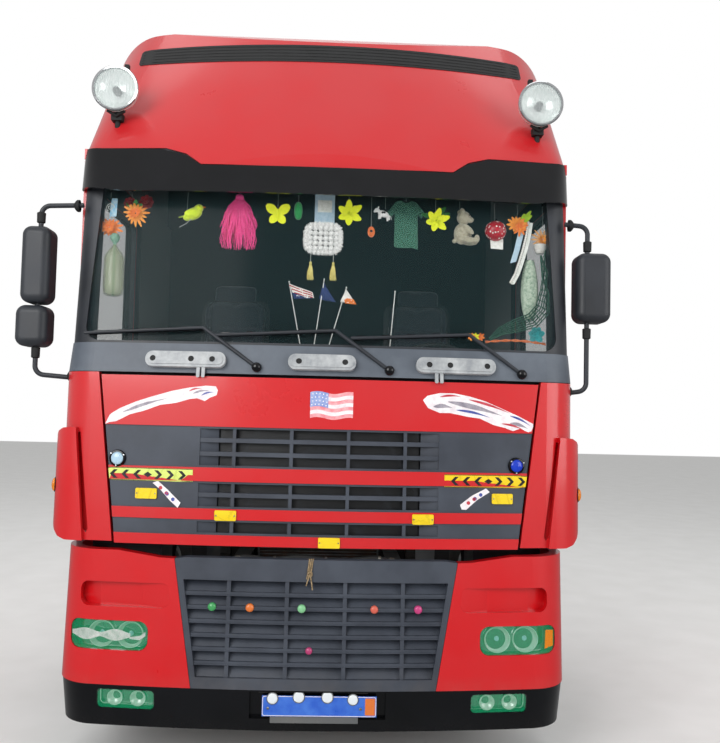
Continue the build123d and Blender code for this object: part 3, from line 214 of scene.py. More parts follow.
def make_materials(look):
    """Every finish, from the real material and how its surface was made."""
    road = "#6E655B"
    # Sprayed two-pack enamel: even and glossy, chalky pink where the sun has faded it, dusty low down.
    stuff["red"] = finish("sprayed_enamel_red", look.paint, look.faded_paint, 620, 0.33, 0.07, 9, 0.05,
                          dust="#7C5B50", dust_top=0.5, fade=(1.7, 4.2),
                          **{"Coat Weight": 0.5, "Coat Roughness": 0.12})
    # Moulded polypropylene: dark grey, greying in patches, with a fine leather grain, drawn at 3 mm to show.
    stuff["trim"] = finish("moulded_polypropylene_grey", look.trim, "#30343B", 340, 0.5, 0.07, 3, 0.12,
                           cells=True, dust=road, dust_top=1.0)
    # The same moulding on the scuttle, bleached by the sun to a slate grey.
    stuff["scuttle"] = finish("moulded_polypropylene_slate", "#4A515B", "#656D77", 420, 0.48, 0.07, 3, 0.1,
                              cells=True)
    # The same moulding on the two grilles: dark slate.
    stuff["slate"] = finish("moulded_polypropylene_dark_slate", "#353A44", "#434954", 300, 0.46, 0.07, 3, 0.1,
                            cells=True, dust=road, dust_top=0.55)
    # Moulded polypropylene in light grey for the grab rails: sheen along the rounded edges.
    stuff["rail"] = finish("moulded_polypropylene_light", "#8E9296", "#B9BCBD", 60, 0.4, 0.1, 3, 0.08)
    # Polished acrylic and deep black lacquer: sharp reflections over fine wash marks.
    stuff["black"] = finish("polished_acrylic_black", "#040508", "#0B0C10", 350, 0.14, 0.05, 12, 0.02,
                            dust="#12110F", dust_top=0.36, **{"Coat Weight": 0.25, "Coat Roughness": 0.06,
                                                                   "Specular IOR Level": 0.3})
    # Dipped chassis enamel: satin black, brown with road film.
    stuff["chassis"] = finish("dipped_enamel_black", "#1B1C1F", "#33302C", 180, 0.5, 0.12, 8, 0.1, dust=road,
                              dust_top=1.1)
    # Sand-cast iron under thin paint: coarse skin, rust freckles.
    stuff["cast"] = finish("sand_cast_iron_painted", "#2A2826", "#5A3B29", 60, 0.7, 0.12, 4, 0.4, dust=road,
                           dust_top=0.9)
    # Sprayed silver wheel enamel: fine metal flake, brake dust.
    stuff["rim"] = finish("sprayed_enamel_silver", look.wheel, "#7F7F7C", 120, 0.4, 0.1, 3, 0.05,
                          dust="#4C443C", dust_top=1.2, Metallic=0.55)
    # Moulded tyre rubber: matt black, brown-grey dust held on the shoulders.
    stuff["tyre"] = finish("moulded_tyre_rubber", "#16171A", "#34322F", 90, 0.78, 0.1, 5, 0.15,
                           dust="#554C42", dust_top=1.4)
    # Rolled aluminium sheet: soft brushed reflections, dull oxide.
    stuff["aluminium"] = finish("rolled_aluminium_sheet", "#B4B6B8", "#A3A6A8", 700, 0.34, 0.07, 14, 0.03,
                                dust="#8D8880", dust_top=0.6, Metallic=1.0)
    # Machined steel under grease: bright lands between black smears.
    stuff["steel"] = finish("greased_machined_steel", "#4B4A48", "#2A2825", 160, 0.35, 0.12, 6, 0.06,
                            Metallic=0.9)
    # Zinc-plated fixings: pale and slightly rough.
    stuff["zinc"] = finish("zinc_plated_steel", "#A7A9A6", "#77705F", 25, 0.42, 0.1, 3, 0.05, Metallic=0.9)
    # Electroplated chrome: mirror bright with faint pitting.
    stuff["chrome"] = finish("electroplated_chrome", "#D5D7D9", "#B4B6B8", 40, 0.1, 0.05, 5, 0.01,
                             Metallic=1.0)
    # Silvered float glass: a clear, dark mirror.
    stuff["mirror"] = finish("silvered_float_glass", "#B9C4C9", "#9FABB0", 200, 0.04, 0.02, 20, 0.0,
                             Metallic=1.0)
    # Extruded EPDM seals and hoses: dull black.
    stuff["rubber"] = finish("extruded_epdm_rubber", "#0E0F10", "#222324", 80, 0.72, 0.08, 3, 0.08)
    # Moulded ABS inside the cab: mid grey, matt grain.
    stuff["inside"] = finish("moulded_abs_interior", "#2C2E31", "#3A3B3E", 260, 0.62, 0.08, 3, 0.15,
                             cells=True)
    # Laminated float glass: clear with a green edge, its reflections softened by a film of dust.
    glazing = {"IOR": 1.52, "Specular IOR Level": 0.32}
    stuff["screen"] = clear("laminated_float_glass", "#4F7074", 0.06, 0.12, **glazing)
    stuff["side_glass"] = clear("toughened_float_glass", "#33443F", 0.42, 0.12, **glazing)
    # Moulded polycarbonate lenses: fluted and glossy.
    stuff["lens"] = clear("moulded_polycarbonate_clear", "#E9F2F2", 0.3, 0.06, 14, IOR=1.58)
    stuff["amber"] = clear("moulded_polycarbonate_amber", "#F08A12", 0.85, 0.12, 8, IOR=1.58)
    stuff["ruby"] = clear("moulded_polycarbonate_red", "#A80F14", 0.9, 0.12, 8, IOR=1.58)
    stuff["blue_lens"] = clear("moulded_polycarbonate_blue", "#1B3FC8", 0.85, 0.1, 0, IOR=1.58)
    stuff["white_lens"] = clear("moulded_polycarbonate_white", "#F6FBFC", 0.8, 0.08, 0, IOR=1.58)
    stuff["ice_lens"] = clear("moulded_polycarbonate_ice", "#BFE0F4", 0.8, 0.1, 0, IOR=1.58)
    # Retroreflective film: tiny prism cells under a clear face, the cells drawn at 6 mm to show.
    stuff["yellow"] = film("prismatic_film_yellow", look.marker, "#B9A316", 6)
    stuff["lime"] = film("prismatic_film_lime", "#DDEB7C", "#A9BC4A", 6)
    stuff["orange"] = film("prismatic_film_orange", "#F07A1A", "#B9520B", 5)
    # Silvered film: rubbed and cloudy, so that it shines in patches.
    stuff["silver_film"] = finish("silvered_film", "#DDE3DC", "#9FB5A8", 22, 0.28, 0.1, 10, 0.05,
                                  Metallic=0.35)
    # Cut vinyl: even and slightly glossy, thin enough to show the paint's waves.
    for key, base, worn in (("vinyl_black", "#0C0D0E", "#26262A"), ("vinyl_white", "#F4F1F2", "#DFD3D8"),
                            ("vinyl_blue", "#2C3E93", "#5A66A8"), ("vinyl_red", "#B5192B", "#C9505C"),
                            ("vinyl_grey", "#A9A3AC", "#7D7784"), ("faded_red", "#E3838C", "#F0B9BD"),
                            ("faded_blue", "#7E93CC", "#A8B6DC")):
        stuff[key] = finish("cut_" + key, base, worn, 30, 0.35, 0.08, 10, 0.03)
    # Stamped aluminium plate under blue film: gently dented.
    stuff["plate"] = finish("stamped_aluminium_blue", "#2A5CC4", "#3E74D2", 60, 0.35, 0.08, 25, 0.4)


# Shapes
def box(mesh, low, high):
    """A box between two corners."""
    middle = [(a + b) / 2 for a, b in zip(low, high)]
    size = [abs(b - a) for a, b in zip(low, high)]
    matrix = Matrix.Translation(middle) @ Matrix.Diagonal(size + [1])
    return bmesh.ops.create_cube(mesh, size=1, matrix=matrix)["verts"]


def facing(point, direction):
    """A matrix whose Z axis lies along a direction."""
    return Matrix.Translation(point) @ Vector(direction).to_track_quat("Z", "Y").to_matrix().to_4x4()


def upright(turn, depth=0.0):
    """A direction in the upright plane across the truck, which may lean out of it."""
    return Vector((math.cos(turn), depth, math.sin(turn)))


def lathe(mesh, rows, point, direction, steps):
    """Turn (radius, height) rows about an axis through a point."""
    place = facing(point, direction)
    rings = []
    for radius, height in rows:
        if radius < 1e-6:
            rings.append([mesh.verts.new(place @ Vector((0, 0, height)))])
            continue
        angles = [2 * math.pi * step / steps for step in range(steps)]
        rings.append([mesh.verts.new(place @ Vector((radius * math.cos(a), radius * math.sin(a), height)))
                      for a in angles])
    for first, second in zip(rings, rings[1:]):
        for step in range(steps):
            after = (step + 1) % steps
            corners = [first[step % len(first)], first[after % len(first)], second[after % len(second)],
                       second[step % len(second)]]
            unique = list(dict.fromkeys(corners))
            if len(unique) > 2:
                mesh.faces.new(unique)


def skin(mesh, rings, capped=True):
    """Faces between rings of as many points, and over both ends."""
    for first, second in zip(rings, rings[1:]):
        for step in range(len(first)):
            after = (step + 1) % len(first)
            mesh.faces.new([first[step], first[after], second[after], second[step]])
    if capped:
        mesh.faces.new(rings[0][::-1])
        mesh.faces.new(rings[-1])


def tube(mesh, points, radius, sides=10, closed=False, taper=None):
    """A round section carried along points, with an optional radius at each point."""
    points = [Vector(p) for p in points]
    count = len(points)
    rings = []
    across = None
    for index, point in enumerate(points):
        before = points[index - 1] if index or closed else point
        after = points[(index + 1) % count] if index < count - 1 or closed else point
        along = (after - before).normalized()
        across = along.orthogonal() if across is None else across - along * across.dot(along)
        across.normalize()
        up = along.cross(across)
        size = taper[index] if taper else radius
        angles = [2 * math.pi * step / sides for step in range(sides)]
        rings.append([mesh.verts.new(point + (across * math.cos(a) + up * math.sin(a)) * size)
                      for a in angles])
    skin(mesh, rings + rings[:1] if closed else rings, not closed)


def ball(mesh, centre, radii, rings=10, steps=14, turn=None):
    """A squashed ball, turned by a matrix if one is given."""
    matrix = Matrix.Translation(centre) @ (turn or Matrix.Identity(4)) @ Matrix.Diagonal(list(radii) + [1])
    return bmesh.ops.create_uvsphere(mesh, u_segments=steps, v_segments=rings, radius=1,
                                     matrix=matrix)["verts"]


def piece(name, mesh, material, body, smooth=40, bevel=0.0):
    """Turn built geometry into a piece that rides on one body and stays behind the foremost plane."""
    bmesh.ops.recalc_face_normals(mesh, faces=mesh.faces[:])
    for vert in mesh.verts:
        vert.co.y = max(vert.co.y, FACE + 0.0002)
    data = bpy.data.meshes.new(name)
    mesh.to_mesh(data)
    mesh.free()
    data.materials.append(stuff[material] if isinstance(material, str) else material)
    data.shade_smooth()
    data.set_sharp_from_angle(angle=math.radians(smooth))
    made = bpy.data.objects.new(name, data)
    bpy.context.scene.collection.objects.link(made)
    if bevel:
        rounding = made.modifiers.new("rounded", "BEVEL")
        rounding.width = bevel
        rounding.segments = 2
        rounding.limit_method = "ANGLE"
        rounding.harden_normals = False
    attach(made, body)
    return made


def tree_of(*names):
    """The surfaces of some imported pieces, ready for casting rays."""
    verts, faces = [], []
    for name in names:
        data = cad[name].data
        start = len(verts)
        verts.extend(vert.co.copy() for vert in data.vertices)
        faces.extend([start + index for index in poly.vertices] for poly in data.polygons)
    return BVHTree.FromPolygons(verts, faces)


def surface_of(*names):
    """A finder that gives the front surface's point and normal at a place across and up the truck."""
    tree = tree_of(*names)

    def at(x, z):
        hit = tree.ray_cast(Vector((x, FACE - 1, z)), Vector((0, 1, 0)))
        if hit[0] is None:
            hit = tree.find_nearest(Vector((x, FACE, z)))
        normal = hit[1] if hit[1].y < 0 else -hit[1]
        return hit[0], normal
    return at


def slab(mesh, outline, near, far):
    """A flat plate with an (x, z) outline between two depths."""
    skin(mesh, [[mesh.verts.new((x, y, z)) for x, z in outline] for y in (near, far)])


def bent(front, bow, depth):
    """A finder for a wall that lies behind a bowed, leaning front, given by its depth at two heights."""
    (low, first), (high, last) = front

    def at(x, z):
        middle = first + (last - first) * (z - low) / (high - low)
        y = FACE + middle + bow * (x / HALF_BODY) ** 2 + depth
        lean = (last - first) / (high - low)
        return Vector((x, y, z)), Vector((-2 * bow * x / HALF_BODY ** 2, 1, -lean)).normalized() * -1
    return at


def side_of(*names):
    """A finder that gives the side surface's point and normal at a place along and up the truck."""
    tree = tree_of(*names)

    def at(side, y, z):
        hit = tree.ray_cast(Vector((side * 3, y, z)), Vector((-side, 0, 0)))
        normal = hit[1] if hit[1].x * side > 0 else -hit[1]
        return hit[0], normal
    return at


def wrap(mesh, outline, at, lift, cell=0.04, sink=0.001):
    """A thin plate with an (x, z) outline that follows a surface and stands proud of it."""
    flat = bmesh.new()
    flat.faces.new([flat.verts.new((x, 0, z)) for x, z in outline])
    flat.normal_update()
    bmesh.ops.triangulate(flat, faces=flat.faces[:])
    for axis in (0, 2):
        low = min(vert.co[axis] for vert in flat.verts)
        high = max(vert.co[axis] for vert in flat.verts)
        normal = (1, 0, 0) if axis == 0 else (0, 0, 1)
        for index in range(1, int((high - low) / cell) + 1):
            point = [0, 0, 0]
            point[axis] = low + index * cell
            geometry = flat.verts[:] + flat.edges[:] + flat.faces[:]
            bmesh.ops.bisect_plane(flat, geom=geometry, plane_co=point, plane_no=normal, dist=1e-5)
    fronts, backs = {}, {}
    for vert in flat.verts:
        point, normal = at(vert.co.x, vert.co.z)
        fronts[vert] = mesh.verts.new(point + normal * lift)
        backs[vert] = mesh.verts.new(point - normal * sink)
    for face in flat.faces:
        corners = face.verts[:]
        mesh.faces.new([fronts[vert] for vert in corners])
        mesh.faces.new([backs[vert] for vert in reversed(corners)])
    for edge in flat.edges:
        if len(edge.link_faces) == 1:
            a, b = edge.verts
            mesh.faces.new([fronts[a], fronts[b], backs[b], backs[a]])
    flat.free()


def rounded(x0, x1, z0, z1, radius, steps=4):
    """A rounded rectangle as (x, z) points."""
    points = []
    for cx, cz, start in ((x1 - radius, z1 - radius, 0), (x0 + radius, z1 - radius, 90),
                          (x0 + radius, z0 + radius, 180), (x1 - radius, z0 + radius, 270)):
        for step in range(steps + 1):
            angle = math.radians(start + 90 * step / steps)
            points.append((cx + radius * math.cos(angle), cz + radius * math.sin(angle)))
    return points


def circle(x, z, radius, steps):
    """A circle as (x, z) points."""
    angles = [2 * math.pi * step / steps for step in range(steps)]
    return [(x + radius * math.cos(a), z + radius * math.sin(a)) for a in angles]


def between(line, first, last):
    """The outline between two copies of a line, each moved by an (x, z) offset."""
    return ([(x + first[0], z + first[1]) for x, z in line]
            + [(x + last[0], z + last[1]) for x, z in reversed(line)])


def oblong(x0, x1, z0, z1):
    """A sharp-cornered rectangle as (x, z) points."""
    return [(x0, z0), (x1, z0), (x1, z1), (x0, z1)]


def stick(name, outlines, at, lift, material, body):
    """A piece cut from thin sheet in some outlines and laid on a surface."""
    mesh = bmesh.new()
    for outline in outlines:
        wrap(mesh, outline, at, lift)
    return piece(name, mesh, material, body)


def area_of(outline):
    """The area inside an outline."""
    return abs(sum(a[0] * b[1] - b[0] * a[1] for a, b in zip(outline, outline[1:] + outline[:1]))) / 2


SLOT_FINISH = {"red_paint": "red", "dark_trim": "trim", "black_gloss": "black", "chassis_paint": "chassis",
               "cast_iron": "cast", "rim_paint": "rim", "tyre": "tyre", "tank_aluminium": "aluminium",
               "screen_glass": "screen", "door_glass": "side_glass", "lamp_glass": "lens",
               "green_lamp": "lens", "plate": "plate", "interior_plastic": "inside", "seat_fabric": "inside",
               "machined_steel": "steel", "tail_lens": "ruby", "rubber": "rubber"}


class TruckLook(bpy.types.PropertyGroup):
    """Colours and sizes of the truck's dressing."""
    paint: bpy.props.FloatVectorProperty(name="Paint", description="Fresh red enamel",
                                         default=linear("#C8000C"), min=0, max=1, subtype="COLOR")
    faded_paint: bpy.props.FloatVectorProperty(name="Faded paint",
                                               description="Enamel where the sun has bleached it",
                                               default=linear("#C02429"), min=0, max=1, subtype="COLOR")
    trim: bpy.props.FloatVectorProperty(name="Trim", description="Moulded dark trim",
                                        default=linear("#24272C"), min=0, max=1, subtype="COLOR")
    wheel: bpy.props.FloatVectorProperty(name="Wheel", description="Wheel enamel", default=linear("#A9ABAD"),
                                         min=0, max=1, subtype="COLOR")
    marker: bpy.props.FloatVectorProperty(name="Markers", description="Reflective yellow film",
                                          default=linear("#F6D312"), min=0, max=1, subtype="COLOR")
    groove: bpy.props.FloatProperty(name="Tread depth", description="Depth of the tyre grooves",
                                    default=0.013, min=0.002, max=0.02, unit="LENGTH")
    nut: bpy.props.FloatProperty(name="Wheel nut", description="Wheel nut's size across corners",
                                 default=0.036, min=0.02, max=0.05, unit="LENGTH")


class TRUCK_OT_paint(bpy.types.Operator):
    """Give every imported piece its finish"""
    bl_idname = "truck.paint"
    bl_label = "Paint the pieces"

    def execute(self, context):
        make_materials(context.scene.truck_look)
        special = {"scuttle": "scuttle", "bumper_grille": "slate", "flap_grille": "slate",
                   "air_intake": "trim"}
        for row in frame["record"]["subparts"]:
            key = special.get(row["node"], SLOT_FINISH[row["material_slot"]])
            data = cad[row["node"]].data
            if data.materials:
                data.materials[0] = stuff[key]
            else:
                data.materials.append(stuff[key])
        return {"FINISHED"}


# Wheels
def tread(mesh, centre, radius, groove, blocks, ribbed):
    """One tyre: a moulded casing with unbroken ribs, or with blocks where it drives."""
    # half the casing's width, half the width between its beads, and the bead's radius
    half, bead, inner = 0.1575, 0.100, 0.286
    # offset from the middle and radius, from one bead up the side wall, then over the shoulder
    side_wall = [(-bead, inner - 0.003), (-bead - 0.006, inner + 0.014), (-bead - 0.020, inner + 0.030),
                 (-half + 0.013, inner + 0.062), (-half + 0.004, inner + 0.095),
                 (-half + 0.001, inner + 0.125), (-half + 0.003, inner + 0.150),
                 (-half + 0.006, inner + 0.153), (-half + 0.008, inner + 0.175),
                 (-half + 0.012, radius - 0.040)]
    shoulder = [(-half + 0.018, radius - 0.028), (-half + 0.026, radius - 0.012)]
    lands = ((-0.124, -0.078), (-0.068, -0.028), (-0.018, 0.018), (0.028, 0.068), (0.078, 0.124))
    steps = blocks * 4
    rings = []
    for step in range(steps):
        block, phase = divmod(step, 4)
        share = (0.0, 0.78, 0.80, 0.98)[phase]
        angle = 2 * math.pi * (block + share) / blocks
        cut = not ribbed and phase >= 2
        wave = 0.004 * (1 if block % 2 else -1)
        ring = list(side_wall)
        ring += [(x, r - (groove * 0.6 if cut else 0)) for x, r in shoulder]
        for number, (first, last) in enumerate(lands):
            crown = [radius - 0.006 * (abs(x) / 0.124) ** 2 for x in (first, last)]
            sunk = groove if cut and number != 2 else 0.0
            ring += [(first + wave, crown[0] - groove), (first + wave, crown[0] - sunk),
                     (last + wave, crown[1] - sunk), (last + wave, crown[1] - groove)]
        ring += [(-x, r - (groove * 0.6 if cut else 0)) for x, r in reversed(shoulder)]
        ring += [(-x, r) for x, r in reversed(side_wall)]
        rings.append([mesh.verts.new((centre[0] + x, centre[1] + r * math.cos(angle),
                                      centre[2] + r * math.sin(angle))) for x, r in ring])
    for first, second in zip(rings, rings[1:] + rings[:1]):
        for index in range(len(first) - 1):
            mesh.faces.new([first[index], first[index + 1], second[index + 1], second[index]])


def nut(mesh, centre, way, size):
    """A hexagon wheel nut on its washer, with the stud's end showing."""
    lathe(mesh, [(0, 0), (size * 0.62, 0), (size * 0.62, 0.004), (size * 0.5, 0.005)], centre, way, 18)
    lathe(mesh, [(size * 0.5, 0.004), (size * 0.5, 0.020), (size * 0.43, 0.024), (0, 0.024)], centre, way, 6)
    lathe(mesh, [(size * 0.28, 0.023), (size * 0.28, 0.029), (size * 0.2, 0.031), (0, 0.031)], centre, way,
          10)


class TRUCK_OT_tyres(bpy.types.Operator):
    """Mould the six tyres with ribs in front and blocks behind"""
    bl_idname = "truck.tyres"
    bl_label = "Tyres"

    def execute(self, context):
        groove = context.scene.truck_look.groove
        for name, side in SIDES:
            mesh = bmesh.new()
            tread(mesh, (side * 1.025, FRONT_AXLE, TYRE_RADIUS), TYRE_RADIUS, groove, 96, True)
            made = piece("steer_tyre_" + name, mesh, "tyre", "wheel_front_" + name, 32)
            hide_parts("front_tyre_" + name)
            mesh = bmesh.new()
            for offset in (-0.175, 0.175):
                tread(mesh, (side * 0.915 + offset, REAR_AXLE, TYRE_RADIUS), TYRE_RADIUS, groove, 56, False)
            made = piece("drive_tyres_" + name, mesh, "tyre", "wheels_rear_" + name, 32)
            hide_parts("rear_tyres_" + name)
        return {"FINISHED"}


class TRUCK_OT_wheel_fittings(bpy.types.Operator):
    """Fit the wheel nuts, hub caps and valves"""
    bl_idname = "truck.wheel_fittings"
    bl_label = "Wheel nuts and hub caps"

    def execute(self, context):
        size = context.scene.truck_look.nut
        for name, side in SIDES:
            way = (side, 0, 0)
            # end, axle, face of the rim, body, and how far the hub's cap stands out from the face
            places = (("front", FRONT_AXLE, side * 1.185, "wheel_front_" + name, 0.034),
                      ("rear", REAR_AXLE, side * 0.927, "wheels_rear_" + name, 0.148))
            for end, y, face, body, cap in places:
                mesh = bmesh.new()
                for index in range(10):
                    angle = math.radians(36 * index + 18)
                    across, up = NUT_CIRCLE * math.cos(angle), NUT_CIRCLE * math.sin(angle)
                    nut(mesh, (face, y + across, TYRE_RADIUS + up), way, size)
                piece("wheel_nuts_%s_%s" % (end, name), mesh, "zinc", body)
                mesh = bmesh.new()
                tip = face + side * cap
                lathe(mesh, [(0, 0.006), (0.038, 0.005), (0.046, 0.0), (0.052, -0.006)],
                      (tip, y, TYRE_RADIUS), way, 32)
                for index in range(8):
                    angle = math.radians(45 * index)
                    centre = (tip - side * 0.012, y + 0.070 * math.cos(angle),
                              TYRE_RADIUS + 0.070 * math.sin(angle))
                    lathe(mesh, [(0.008, 0), (0.008, 0.010), (0.006, 0.012), (0, 0.012)], centre, way, 6)
                stem = (face - side * 0.03, y + 0.235 * math.cos(0.31), TYRE_RADIUS + 0.235 * math.sin(0.31))
                lathe(mesh, [(0.007, 0), (0.007, 0.045), (0.005, 0.048), (0, 0.048)], stem, (side, 0, 0.2),
                      10)
                piece("hub_cap_%s_%s" % (end, name), mesh, "steel", body)
        return {"FINISHED"}


# Nose and bumper
def chevron(x, z, width, half, thick):
    """One arrow-shaped band that points along its width."""
    return [(x, z), (x + width, z + half), (x + width + thick, z + half), (x + thick, z),
            (x + width + thick, z - half), (x + width, z - half)]


def fleck(start, end, wide):
    """The outline of a slim, bent fleck that swells and then tapers from one point to another."""
    along = Vector(end) - Vector(start)
    across = Vector((-along.y, along.x)).normalized()
    points = []
    for step in range(11):
        share = step / 10
        if share < 0.8:
            size = wide * math.sin(math.pi * min(1, share * 1.2 + 0.02)) ** 0.7
        else:
            size = wide * (1 - share) * 2
        bend = 0.006 * math.sin(math.pi * share)
        points.append((Vector(start) + along * share + across * bend, across * max(size, 0.0004)))
    return [tuple(p + s) for p, s in points] + [tuple(p - s) for p, s in reversed(points)]


class TRUCK_OT_nose_marks(bpy.types.Operator):
    """Stick the chevron strips, reflectors, sweeps and flag to the front flap"""
    bl_idname = "truck.nose_marks"
    bl_label = "Nose strips and stickers"

    def execute(self, context):
        flap = surface_of("flap_panel", "flap_grille")
        for name, side, ground in (("right", -1, "lime"), ("left", 1, "yellow")):
            centre = side * 0.798
            backing = rounded(centre - 0.211, centre + 0.211, 1.358, 1.419, 0.004)
            stick("chevron_strip_" + name, [backing], flap, 0.0012, ground, "front_flap")
            mesh = bmesh.new()
            for index in range(3):
                for way in (-1, 1):
                    tip = centre + way * (0.068 + index * 0.056)
                    wrap(mesh, chevron(tip, 1.3885, -way * 0.020, 0.020, -way * 0.017), flap, 0.0018, 0.08)
            wrap(mesh, [(centre - 0.020, 1.3885), (centre, 1.376), (centre + 0.020, 1.3885), (centre, 1.401)],
                 flap, 0.0018)
            for low, high in ((1.3585, 1.3615), (1.4155, 1.4185)):
                wrap(mesh, oblong(centre - 0.210, centre + 0.210, low, high), flap, 0.0018)
            piece("chevron_arrows_" + name, mesh, "vinyl_black", "front_flap")
        # middle across and middle up of each reflector
        rows = ((-0.802, 1.301), (0.866, 1.307), (-0.428, 1.209), (0.487, 1.208), (0.053, 1.095))
        body, holes = bmesh.new(), bmesh.new()
        for x, z in rows:
            wrap(body, rounded(x - 0.050, x + 0.050, z - 0.024, z + 0.024, 0.006), flap, 0.009)
            for offset in (-0.043, 0.043):
                wrap(holes, circle(x + offset, z, 0.0035, 10), flap, 0.0098)
        piece("reflectors", body, "yellow", "front_flap", bevel=0.0015)
        piece("reflector_screws", holes, "zinc", "front_flap")

        def wave(x):
            """How far the waving flag is lifted at a place across."""
            return 0.006 * math.sin((x + 0.053) * 42)

        def band(x0, x1, steps, low, high):
            """The outline of a band that waves with the flag."""
            xs = [x0 + (x1 - x0) * step / steps for step in range(steps + 1)]
            return [(x, low + wave(x)) for x in xs] + [(x, high + wave(x)) for x in reversed(xs)]

        # stars-and-stripes style flag
        pitch = 0.0172
        for key, rows in (("faded_red", range(0, 7, 2)), ("vinyl_white", range(1, 7, 2))):
            bands = [band(-0.050, 0.150, 12, 1.668 + pitch * row, 1.668 + pitch * (row + 1)) for row in rows]
            stick("flag_stripes_" + key[6:], bands, flap, 0.0012, key, "front_flap")
        stick("flag_canton", [band(-0.051, 0.034, 6, 1.719, 1.789)], flap, 0.0018, "faded_blue", "front_flap")
        dots = []
        for row in range(4):
            for column in range(5):
                x, z = -0.043 + 0.0165 * column + 0.004 * (row % 2), 1.728 + 0.0168 * row
                dots.append(circle(x, z + wave(x), 0.0032, 8))
        stick("flag_dots", dots, flap, 0.0024, "vinyl_white", "front_flap")
        # swept feathers, from the pointed tail to the rounded head
        right = [(-1.032, 1.621), (-0.985, 1.668), (-0.944, 1.694), (-0.870, 1.726), (-0.803, 1.749),
                 (-0.700, 1.780), (-0.616, 1.798), (-0.540, 1.808), (-0.494, 1.806), (-0.484, 1.788),
                 (-0.489, 1.765), (-0.520, 1.752), (-0.543, 1.736), (-0.580, 1.748), (-0.613, 1.744),
                 (-0.680, 1.724), (-0.754, 1.713), (-0.830, 1.684), (-0.895, 1.666), (-0.960, 1.632)]
        left = [(0.479, 1.765), (0.500, 1.786), (0.560, 1.800), (0.630, 1.800), (0.705, 1.787),
                (0.780, 1.766), (0.851, 1.737), (0.940, 1.700), (1.034, 1.655), (1.020, 1.632),
                (0.992, 1.624), (0.950, 1.640), (0.915, 1.628), (0.877, 1.642), (0.820, 1.655),
                (0.754, 1.684), (0.700, 1.690), (0.609, 1.707), (0.560, 1.706), (0.504, 1.728)]
        # flecks of colour that follow each sweep: start, end, width
        flecks = {
            "vinyl_grey": [((-0.93, 1.675), (-0.72, 1.745), 0.007), ((0.60, 1.760), (0.86, 1.700), 0.012),
                           ((0.53, 1.735), (0.62, 1.732), 0.010), ((0.90, 1.665), (0.99, 1.640), 0.008),
                           ((-0.60, 1.770), (-0.52, 1.785), 0.005)],
            "vinyl_red": [((-0.62, 1.780), (-0.56, 1.793), 0.004), ((0.70, 1.772), (0.90, 1.712), 0.006),
                          ((0.86, 1.662), (0.97, 1.633), 0.005), ((0.56, 1.782), (0.66, 1.785), 0.005)],
            "vinyl_blue": [((0.64, 1.722), (0.80, 1.690), 0.006), ((0.90, 1.700), (1.00, 1.655), 0.005),
                           ((-0.56, 1.762), (-0.50, 1.778), 0.004)],
        }
        for name, outline in (("right", right), ("left", left)):
            stick("sweep_" + name, [outline], flap, 0.0010, "vinyl_white", "front_flap")
        for key, rows in flecks.items():
            stick("sweep_flecks_" + key[6:], [fleck(*row) for row in rows], flap, 0.0018, key, "front_flap")
        # two slim slanted strips of white, red and blue beside the outer reflectors
        strips = {
            "right": [(-0.775, 1.350), (-0.750, 1.360), (-0.700, 1.318), (-0.640, 1.262), (-0.652, 1.238),
                      (-0.690, 1.270), (-0.735, 1.318)],
            "left": [(0.664, 1.277), (0.720, 1.320), (0.788, 1.355), (0.806, 1.338), (0.745, 1.300),
                     (0.693, 1.254), (0.672, 1.256)],
        }
        for name, outline in strips.items():
            stick("slim_strip_" + name, [outline], flap, 0.0010, "vinyl_white", "front_flap")
        for key, middle in (("vinyl_red", 0.30), ("vinyl_blue", 0.62)):
            spots = []
            for (x0, z0), (x1, z1) in (((-0.752, 1.342), (-0.652, 1.256)), ((0.688, 1.276), (0.786, 1.340))):
                for share in (middle - 0.14, middle + 0.14):
                    spots.append(circle(x0 + (x1 - x0) * share, z0 + (z1 - z0) * share, 0.009, 7))
            stick("slim_strip_marks_" + key[6:], spots, flap, 0.0018, key, "front_flap")
        return {"FINISHED"}


def dome(mesh, point, normal, radius, height):
    """A shallow clear cover over a round lamp."""
    rows = [(radius * math.cos(a), height * math.sin(a)) for a in (0, 0.35, 0.7, 1.05, 1.35)]
    lathe(mesh, [(radius, -0.004)] + rows + [(0, height)], point, normal, 28)


